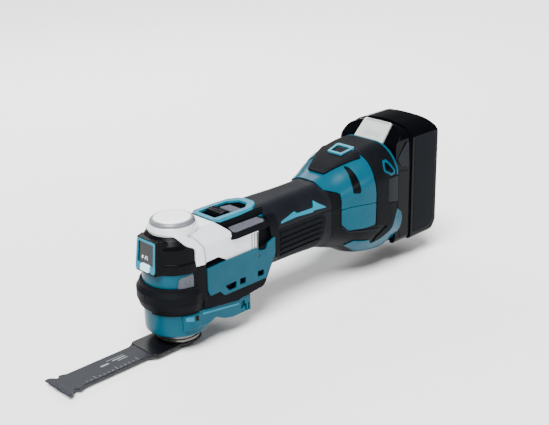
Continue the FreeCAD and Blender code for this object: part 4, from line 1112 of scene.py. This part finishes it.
wraps = [soften(turned(rounded([(27.9, 15.4), (29.4, 15.4, 0.6), (29.7, 17.0, 0.6), (29.7, 28.8, 0.6),
    (29.3, 29.5, 0.4), (27.9, 29.5)], 0.3, 3), start, 32.0, steps=28), 0.35, 3, 40) for start in (240.5, 87.5)]
finish_piece(joined(soften(brace, 0.3, 2, 40), *wraps), "brace_shell", "teal", ["lower_brace"])
bars, brace_slots = [], []
WRAP_REACH = 29.7
for sign in (1, -1):
    outline = [(sign * WRAP_REACH * math.radians(a), z) for a, z in ((65.0, 24.6), (79.0, 23.2), (79.0, 27.6),
        (65.0, 28.2))]
    bars.append(soft_panel(0.2, 2, rounded(outline, 0.5, 3), 0.35, 0.3, step=1.2, point=wrapped(WRAP_REACH)))
    outline = [(sign * WRAP_REACH * math.radians(a), z) for a, z in ((82.0, 23.4), (88.0, 22.8), (88.0, 27.6),
        (82.0, 27.8))]
    brace_slots.append(panel(rounded(outline, 0.5, 3), 0.12, 0.3, step=1.2, point=wrapped(WRAP_REACH)))
    bars.append(soften(slab(rounded([(4.0, 25.8), (24.0, 23.4), (45.0, 20.6), (45.4, 22.2), (24.0, 25.2),
        (4.0, 27.6)], 0.4, 3), "y", *span(sign, 28.3, 29.1)), 0.25, 2))
finish_piece(joined(*bars), "brace_inlays", "pale")
finish_piece(joined(*brace_slots), "brace_slots", "black")

# ---------------------------------------------------------------- battery pack


def crossed(side, front, y, x):
    """A body with one outline from the side, (x, z), and one from the front, (y, z)."""
    return common(slab(side, "y", *y), slab(front, "x", *x))


PACK_HALF = 37.5  # half the pack's width
pack_front = rounded(crossed_over([(PACK_HALF, 16, 4), (PACK_HALF, 124.6, 9), (24, 131.4, 60),
    (0, 134.2, 90)]), 6, 7)
case_side = rounded([(266.4, 16, 0.6), (293.5, 16, 3), (301.5, 18.6, 4), (307, 26.0, 6), (307, 120.5, 9),
    (301.5, 134.6, 8), (266.4, 134.6, 0.6)], 3, 6)
case = crossed(case_side, pack_front, (-45, 45), (260, 310))
soften(case, 1.6, 4)
groove = cut(block((264.0, 268.2), (-60, 60), (10, 150)),
    slab(scaled(pack_front, (0, 75), (0.965, 0.972)), "x", 262, 270))
finish_piece(cut(case, groove), "battery_case_shell", "pack", ["battery_case"], body="battery_pack")

cover_side = rounded([(245.4, 16.2, 2), (265.6, 16.2, 0.4), (265.6, 134.4, 0.4), (262.6, 133.2, 3),
    (246.2, 116.6, 3), (245.4, 114.0, 2)], 2, 5)
cover_front = rounded(crossed_over([(36.4, 16.6, 6), (36.4, 96, 3), (34.6, 124.4, 9), (23, 130.6, 60),
    (0, 133.2, 90)]), 6, 7)
pack_cover = crossed(cover_side, cover_front, (-45, 45), (240, 270))
soften(pack_cover, 0.8, 3, 45)
# the slot for the tool's rails, and the seat of the release button
cut(pack_cover, block((240, 256.5), (-12, 12), (10, 92)), block((244.6, 250.6), (-29.6, -24.4), (10, 101)),
    block((244.6, 250.6), (24.4, 29.6), (10, 101)))
SLOPE_FOOT, SLOPE_TOP = (246.2, 116.6), (262.6, 133.2)
SLOPE = math.atan2(SLOPE_TOP[1] - SLOPE_FOOT[1], SLOPE_TOP[0] - SLOPE_FOOT[0])


def on_slope(x, y, z):
    """Button coordinates, x up the slope and z out of it, to the frame."""
    up, out = math.sin(SLOPE), math.cos(SLOPE)
    return (SLOPE_FOOT[0] + x * out - z * up, y, SLOPE_FOOT[1] + x * up + z * out)


def sloped(obj):
    """obj moved from button coordinates to the frame."""
    for vertex in obj.data.vertices:
        vertex.co = Vector(on_slope(*(c * 1000 for c in vertex.co))) * MM
    return obj


seat = sloped(slab(rounded(evened([(-2.2, -19.2), (22.8, -17.4)]), 2.0, 5), "z", -6.0, 6))
cut(pack_cover, seat)
finish_piece(pack_cover, "battery_cover_shell", "pack", ["battery_cover"], body="battery_pack")

button = slab(rounded(evened([(-1.4, -18.2), (22.2, -16.6)]), 2.0, 5), "z", -2.4, 1.0)
dish = slab(rounded(evened([(1.2, -15.4), (20.2, -14.0)]), 1.4, 5), "z", -0.4, 3,
    rounded(evened([(-2.2, -18.6), (23.4, -17.2)]), 2.4, 5))
cut(button, dish)
button = sloped(soften(button, 0.35, 3))
bars = []
for k in range(3):
    bar = slab(rounded([(5.4 + 1.9 * k, -8.6), (6.3 + 1.9 * k, -8.6), (6.3 + 1.9 * k, 8.6),
        (5.4 + 1.9 * k, 8.6)], 0.4, 3), "z", -0.8, 0.05)
    bars.append(sloped(soften(bar, 0.2, 2)))
finish_piece(joined(button, *bars), "battery_release_button", "button", ["battery_button"],
    body="release_button")

for side, sign in (("left", -1), ("right", 1)):
    label = slab(rounded([(271.6, 22.0, 2.5), (292.2, 22.0, 3), (299.6, 24.8, 3), (303.2, 30.0, 4),
        (303.2, 116.5, 5), (300.8, 119.6, 4), (271.6, 119.6, 2.5)], 3, 5), "y",
        *span(sign, PACK_HALF - 0.8, PACK_HALF + 0.35))
    finish_piece(soften(label, 0.3, 2), f"pack_label_{side}", "label", body="battery_pack")
    cheek = rounded([(247.0, 103.0), (251.6, 96.2), (263.4, 93.0), (263.4, 118.4), (261.0, 117.6)], 1.0, 4)
    cheek = slab(cheek, "y", *span(sign, 34.9, 37.0))
    finish_piece(soften(cheek, 0.6, 3), f"pack_shoulder_{side}", "slate", body="battery_pack")
    rail = slab(rounded([(248.4, 92.2), (263.4, 89.8), (263.4, 22.0), (252.6, 22.0), (250.4, 30.0),
        (248.4, 46.0)], 1.2, 4), "y", *span(sign, 35.2, 36.9))
    finish_piece(soften(rail, 0.5, 3), f"pack_cheek_{side}", "black", body="battery_pack")

# raised frame and charge lights on the back of the pack
LIGHT_PITCH, LIGHT_Z = 5.2, 115.7
frame_out = rounded(crossed_over([(27, 34), (27, 108)]), 5, 6)
frame_in = rounded(crossed_over([(24.6, 36.4), (24.6, 105.6)]), 3.5, 6)
back_frame = cut(slab(frame_out, "x", 306.4, 307.5), slab(frame_in, "x", 305, 309))
finish_piece(soften(back_frame, 0.35, 3), "pack_back_frame", "pack", body="battery_pack")
gauge = slab(rounded(crossed_over([(17, 112), (17, 119.4)]), 2.2, 5), "x", 306.2, 307.4)
finish_piece(soften(gauge, 0.3, 2), "charge_gauge", "slate", body="battery_pack")
lights = [soften(barrel(1.25, "x", 306.8, 307.7, (-11.0 + LIGHT_PITCH * k, LIGHT_Z), 24), 0.25, 2)
    for k in range(4)]
finish_piece(joined(*lights), "charge_lights", "mark", body="battery_pack")
key = soften(barrel(2.3, "x", 306.8, 307.9, (11.6, LIGHT_Z), 32), 0.5, 3)
finish_piece(key, "charge_key", "rubber", body="battery_pack")

# ---------------------------------------------------------------- dial

DIAL_X, DIAL_Z = 206, 106.3
WHEEL_REACH, GROOVE_REACH, DOT_REACH, GROOVES = 8.5, 7.95, 8.3, 40
dial_out = rounded(evened([(196.8, -9.6), (213.6, -11.8), (216.4, -10.6)]), 1.2, 5)
window_hole = rounded(evened([(200.4, -6.6), (212.2, -7.8)]), 0.9, 4)
dial_ring = slab(dial_out, "z", 110.0, 116.9, rounded(evened([(198.0, -8.6), (213.2, -10.8),
    (215.6, -9.8)]), 1.2, 5))
cut(dial_ring, slab(window_hole, "z", 100, 125))
soften(dial_ring, 0.55, 3)
pivot = Matrix.Translation((DIAL_X * MM, 0, 0.112))
dial_ring.data.transform(pivot @ Matrix.Rotation(math.radians(-11), 4, "Y") @ pivot.inverted())
finish_piece(dial_ring, "dial_ring", "pale", ["dial_frame"])

wheel = []
for k in range(GROOVES):
    a = 2 * math.pi * k / GROOVES
    for r, da in ((WHEEL_REACH, -0.028), (WHEEL_REACH, 0.028), (GROOVE_REACH, 0.055), (GROOVE_REACH, 0.102)):
        wheel.append((DIAL_X + r * math.cos(a + da), DIAL_Z + r * math.sin(a + da)))
thumb = slab(wheel, "y", -6.2, 6.2)
soften(thumb, 0.25, 2, 20)
numbers = []
for k in range(6):
    a = math.radians(62 + 27 * k)
    dot = barrel(0.75, "z", 0, 0.9, (0, 0), 20)
    x, z = DIAL_X + DOT_REACH * math.cos(a), DIAL_Z + DOT_REACH * math.sin(a)
    dot.data.transform(Matrix.Translation((x * MM, 0, z * MM)) @ Matrix.Rotation(math.pi / 2 - a, 4, "Y")
        @ Matrix.Scale(1.0 + 0.5 * k, 4, (0, 1, 0)))
    numbers.append(dot)
finish_piece(thumb, "speed_wheel", "dial", ["speed_dial"], body="dial")
finish_piece(joined(*numbers), "speed_marks", "mark", body="dial")

# ---------------------------------------------------------------- tool holder and blade


TIPS = 12  # of the star that holds the blade


def star(inner, outer):
    """A star outline."""
    turns = [(math.pi * k / TIPS, inner if k % 2 else outer) for k in range(2 * TIPS)]
    return [(reach * math.cos(turn), reach * math.sin(turn)) for turn, reach in turns]


collar = turned(rounded([(7.0, 0.0), (18.9, 0.0, 0.5), (19.4, 1.4, 0.4), (19.4, 2.9, 0.4), (18.4, 3.6, 0.3),
    (18.4, 6.6, 0.3), (17.9, 7.0, 0.2), (17.9, 11.4, 0.3), (14.5, 11.4), (14.5, 4.0), (7.0, 4.0)], 0.3,
    3), steps=128)
drive = cut(slab(rounded(star(12.1, 13.2), 0.5, 3), "z", -4.5, 0.2), barrel(7.0, "z", -10, 10, steps=48))
finish_piece(joined(soften(collar, 0.15, 2, 40), soften(drive, 0.3, 2)), "tool_collar", "collar",
    ["tool_holder"], body="spindle_assembly")

MOUNT_TOP, MOUNT_LOW = -0.1, -2.4
mount_plan = rounded(evened([(-39.5, -14.6, 1.5), (-37.0, -17.0, 2.0), (-6.0, -17.0, 4),
    (-2.0, -17.0, 1)]), 1, 5)
plate = slab(mount_plan, "z", MOUNT_LOW, MOUNT_TOP)
add(plate, barrel(19.6, "z", MOUNT_LOW, MOUNT_TOP, steps=128))
soften(plate, 0.55, 3, 35)
step_plate = soften(slab(rounded(evened([(-38.4, -14.0), (-36.4, -15.6), (-15.0, -15.6)]), 1.5, 4), "z",
    MOUNT_LOW - 0.9, MOUNT_LOW + 0.2), 0.3, 2)
cup = turned(rounded([(2.0, MOUNT_LOW + 0.3), (16.5, MOUNT_LOW + 0.3, 0.2), (16.4, -4.2, 1.2),
    (15.2, -6.0, 0.8), (2.0, -6.0)], 0.3, 4), steps=128)
add(plate, step_plate, cup)
cut(plate, slab(rounded(star(12.5, 13.6), 0.5, 3), "z", -10, 5))
finish_piece(soften(plate, 0.2, 2, 40), "blade_carrier", "blade_black", ["blade_mount"], body="blade")
welds = [soften(barrel(1.3, "z", MOUNT_LOW - 1.1, MOUNT_LOW - 0.7, (x, y), 24), 0.2, 2) for x in (-33.0, -26.0)
    for y in (-9.0, 0.0, 9.0)]
finish_piece(joined(*welds), "carrier_welds", "dark_steel", body="blade")

BLADE_TOP, BLADE_LOW, TIP = -0.7, -1.9, -123.6
BLADE_NECK, BLADE_HEAD, TEETH = 12.0, 16.7, 24
edge_line = rounded([(-38.0, 15.6, 0), (-40.2, 14.4, 1.5), (-44.0, BLADE_NECK, 3), (-106.4, BLADE_NECK, 3),
    (-111.6, 14.2, 0.8), (-113.0, 14.2, 0.6), (-114.4, 11.8, 0.8), (-116.4, 11.6, 0.8), (-119.0, 15.0, 2),
    (-121.6, BLADE_HEAD, 0.8), (TIP, BLADE_HEAD, 0.1), (TIP, 0, 0), (-38.0, 0, 0)], 0.5, 4)[:-2]
pitch = 2 * BLADE_HEAD / TEETH
teeth = []
for k in range(TEETH):
    top = BLADE_HEAD - k * pitch
    teeth += [(TIP - 1.35, top - pitch * (0.12 if k % 2 else 0.3)), (TIP + 0.25, top - pitch)]
far_side = [(x, -y) for x, y in reversed(edge_line)]
blade_plate = slab(edge_line + teeth[:-1] + far_side, "z", BLADE_LOW, BLADE_TOP)
ground = slab([(TIP - 5.0, -1.25), (TIP - 1.35, -1.25), (TIP + 3.4, BLADE_TOP), (TIP + 3.4, 1.0),
    (TIP - 5.0, 1.0)], "y", -30, 30)
cut(blade_plate, ground)
finish_piece(soften(blade_plate, 0.12, 2, 40), "plunge_blade", "blade", ["saw_blade"], body="blade")
ETCH_LOW, ETCH_HIGH = BLADE_TOP - 0.1, BLADE_TOP + 0.03
etched = []
for k in range(13):
    x = -52.0 - 4.2 * k
    long = 4.6 if k % 5 == 0 else 2.6
    etched.append(block((x - 0.16, x + 0.16), (-BLADE_NECK + 0.6, -BLADE_NECK + 0.6 + long),
        (ETCH_LOW, ETCH_HIGH)))
for x, y, wide, deep in ((-62, 2.4, 13, 1.1), (-60, -0.4, 9.5, 0.7), (-77, 1.2, 8, 1.8), (-64, 5.2, 17, 0.4)):
    etched.append(block((x - wide / 2, x + wide / 2), (y - deep / 2, y + deep / 2), (ETCH_LOW, ETCH_HIGH)))
finish_piece(joined(*etched), "blade_etching", "grey_line", body="blade")

# the plunger's return spring, a fixed coil that rides with the plunger assembly; the real one shortens as the
# lever pushes the plunger down
COIL_REACH, WIRE, COIL_FOOT, COIL_PITCH, COIL_TURNS = 5.2, 0.55, 73.0, 1.9, 3.1
COIL_STEPS, SIDES = 36, 12
coil_rings = []
for k in range(int(COIL_TURNS * COIL_STEPS) + 1):
    turn = 2 * math.pi * k / COIL_STEPS
    ring = []
    for j in range(SIDES):
        tip = 2 * math.pi * j / SIDES
        reach = COIL_REACH + WIRE * math.cos(tip)
        z = COIL_FOOT + COIL_PITCH * k / COIL_STEPS + WIRE * math.sin(tip)
        ring.append((reach * math.cos(turn), reach * math.sin(turn), z))
    coil_rings.append(ring)
coil_faces = [tuple(range(SIDES)), tuple(range((len(coil_rings) - 1) * SIDES, len(coil_rings) * SIDES))]
for k in range(len(coil_rings) - 1):
    for j in range(SIDES):
        a, b = k * SIDES + j, k * SIDES + (j + 1) % SIDES
        coil_faces.append((a, b, b + SIDES, a + SIDES))
coil = new_object("coil", [p for ring in coil_rings for p in ring], coil_faces)
finish_piece(coil, "plunger_coil", "steel", ["plunger_spring"], body="clamp_plunger_assembly")
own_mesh(coil)

# ---------------------------------------------------------------- finishes of the CAD parts that stay

FINISHES = {
    "teal_housing": "teal", "black_rubber": "rubber", "black_plastic": "black", "light_blue": "pale",
    "knob_black": "black", "silver_lever": "silver", "steel": "steel", "dark_steel": "dark_steel",
    "cast_alloy": "alloy", "core_laminations": "core", "fan_plastic": "fan", "lens_clear": "lens",
    "smoked_window": "window", "pack_black": "pack", "button_grey": "button", "cell_sleeve": "cell",
    "blade_black": "blade_black", "blade_steel": "blade",
}
for name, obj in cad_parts.items():
    for slot in obj.material_slots:
        slot.material = M[FINISHES[slot.material.name.split(".")[0]]]
    if not obj.hide_render:
        step = obj.modifiers.new("soft_edges", "BEVEL")
        step.width = 0.12 * MM
        step.segments = 2
        step.limit_method = "ANGLE"
        step.angle_limit = math.radians(40)

# ---------------------------------------------------------------- floor, light, camera

FLOOR_REACH, FLOOR_Z = 9000, -6.6
floor = new_object("floor", [(x * FLOOR_REACH, y * FLOOR_REACH, FLOOR_Z)
    for x, y in ((-1, -1), (1, -1), (1, 1), (-1, 1))], [(0, 1, 2, 3)])
floor.data.materials.append(surface("floor_paper", (0.86, 0.86, 0.865), (0.85, 0.85, 0.855),
    (0.7, 0.8), 200, 0.02))

# the camera sees a pale room, which lights the tool only faintly
world = bpy.data.worlds.new("studio")
world.use_nodes = True
world.node_tree.nodes["Background"].inputs["Color"].default_value = (1.0, 1.0, 1.0, 1)
ray = world.node_tree.nodes.new("ShaderNodeLightPath").outputs["Is Camera Ray"]
level = node_link(world.node_tree, "ShaderNodeMapRange", Value=ray, To_Min=0.16, To_Max=1.2)
world.node_tree.links.new(level.outputs[0], world.node_tree.nodes["Background"].inputs["Strength"])
scene.world = world

MIDDLE = Vector((0.09, 0.0, 0.06))


def lamp(name, place, size, power):
    """A rectangular lamp aimed at the middle of the tool."""
    data = bpy.data.lights.new(name, "AREA")
    data.shape = "RECTANGLE"
    data.size, data.size_y = size
    data.energy = power
    made = bpy.data.objects.new(name, data)
    made.location = Vector(place)
    made.rotation_mode = "QUATERNION"
    made.rotation_quaternion = (MIDDLE - Vector(place)).to_track_quat("-Z", "Y")
    scene.collection.objects.link(made)


sun = bpy.data.objects.new("sky_panel", bpy.data.lights.new("sky_panel", "SUN"))
sun.data.energy = 10.5
sun.data.angle = math.radians(35)
sun.rotation_mode = "QUATERNION"
sun.rotation_quaternion = Vector((0.44, 0.25, -1.0)).to_track_quat("-Z", "Y")
scene.collection.objects.link(sun)
lamp("side", (0.25, -1.2, 0.45), (0.8, 0.2), 4.5)
lamp("back", (0.5, 1.0, 0.8), (1.2, 0.3), 12)

# camera at the viewing angle of the reference view
TURN, RISE, ROLL = math.radians(44.12), math.radians(21.25), math.radians(-1.14)
back = Vector((-math.sin(TURN) * math.cos(RISE), -math.cos(TURN) * math.cos(RISE), math.sin(RISE)))
right = Vector((math.cos(TURN), -math.sin(TURN), 0))
above = back.cross(right)
right_rolled = right * math.cos(ROLL) + above * math.sin(ROLL)
up_rolled = -right * math.sin(ROLL) + above * math.cos(ROLL)
AIM = Vector((0, 0, 60))
ACROSS, UP, AWAY = -83.62, -47.53, 905.41  # where the camera sees AIM
centre = (AIM - right_rolled * ACROSS - up_rolled * UP + back * AWAY) * MM
camera = bpy.data.objects.new("camera", bpy.data.cameras.new("camera"))
camera.data.sensor_width = 36.0
camera.data.lens = 70.74
camera.data.clip_start, camera.data.clip_end = 0.01, 50.0
camera.matrix_world = Matrix(
    [[right_rolled[i], up_rolled[i], back[i], centre[i]] for i in range(3)] + [[0, 0, 0, 1]]
)
scene.collection.objects.link(camera)
scene.camera = camera
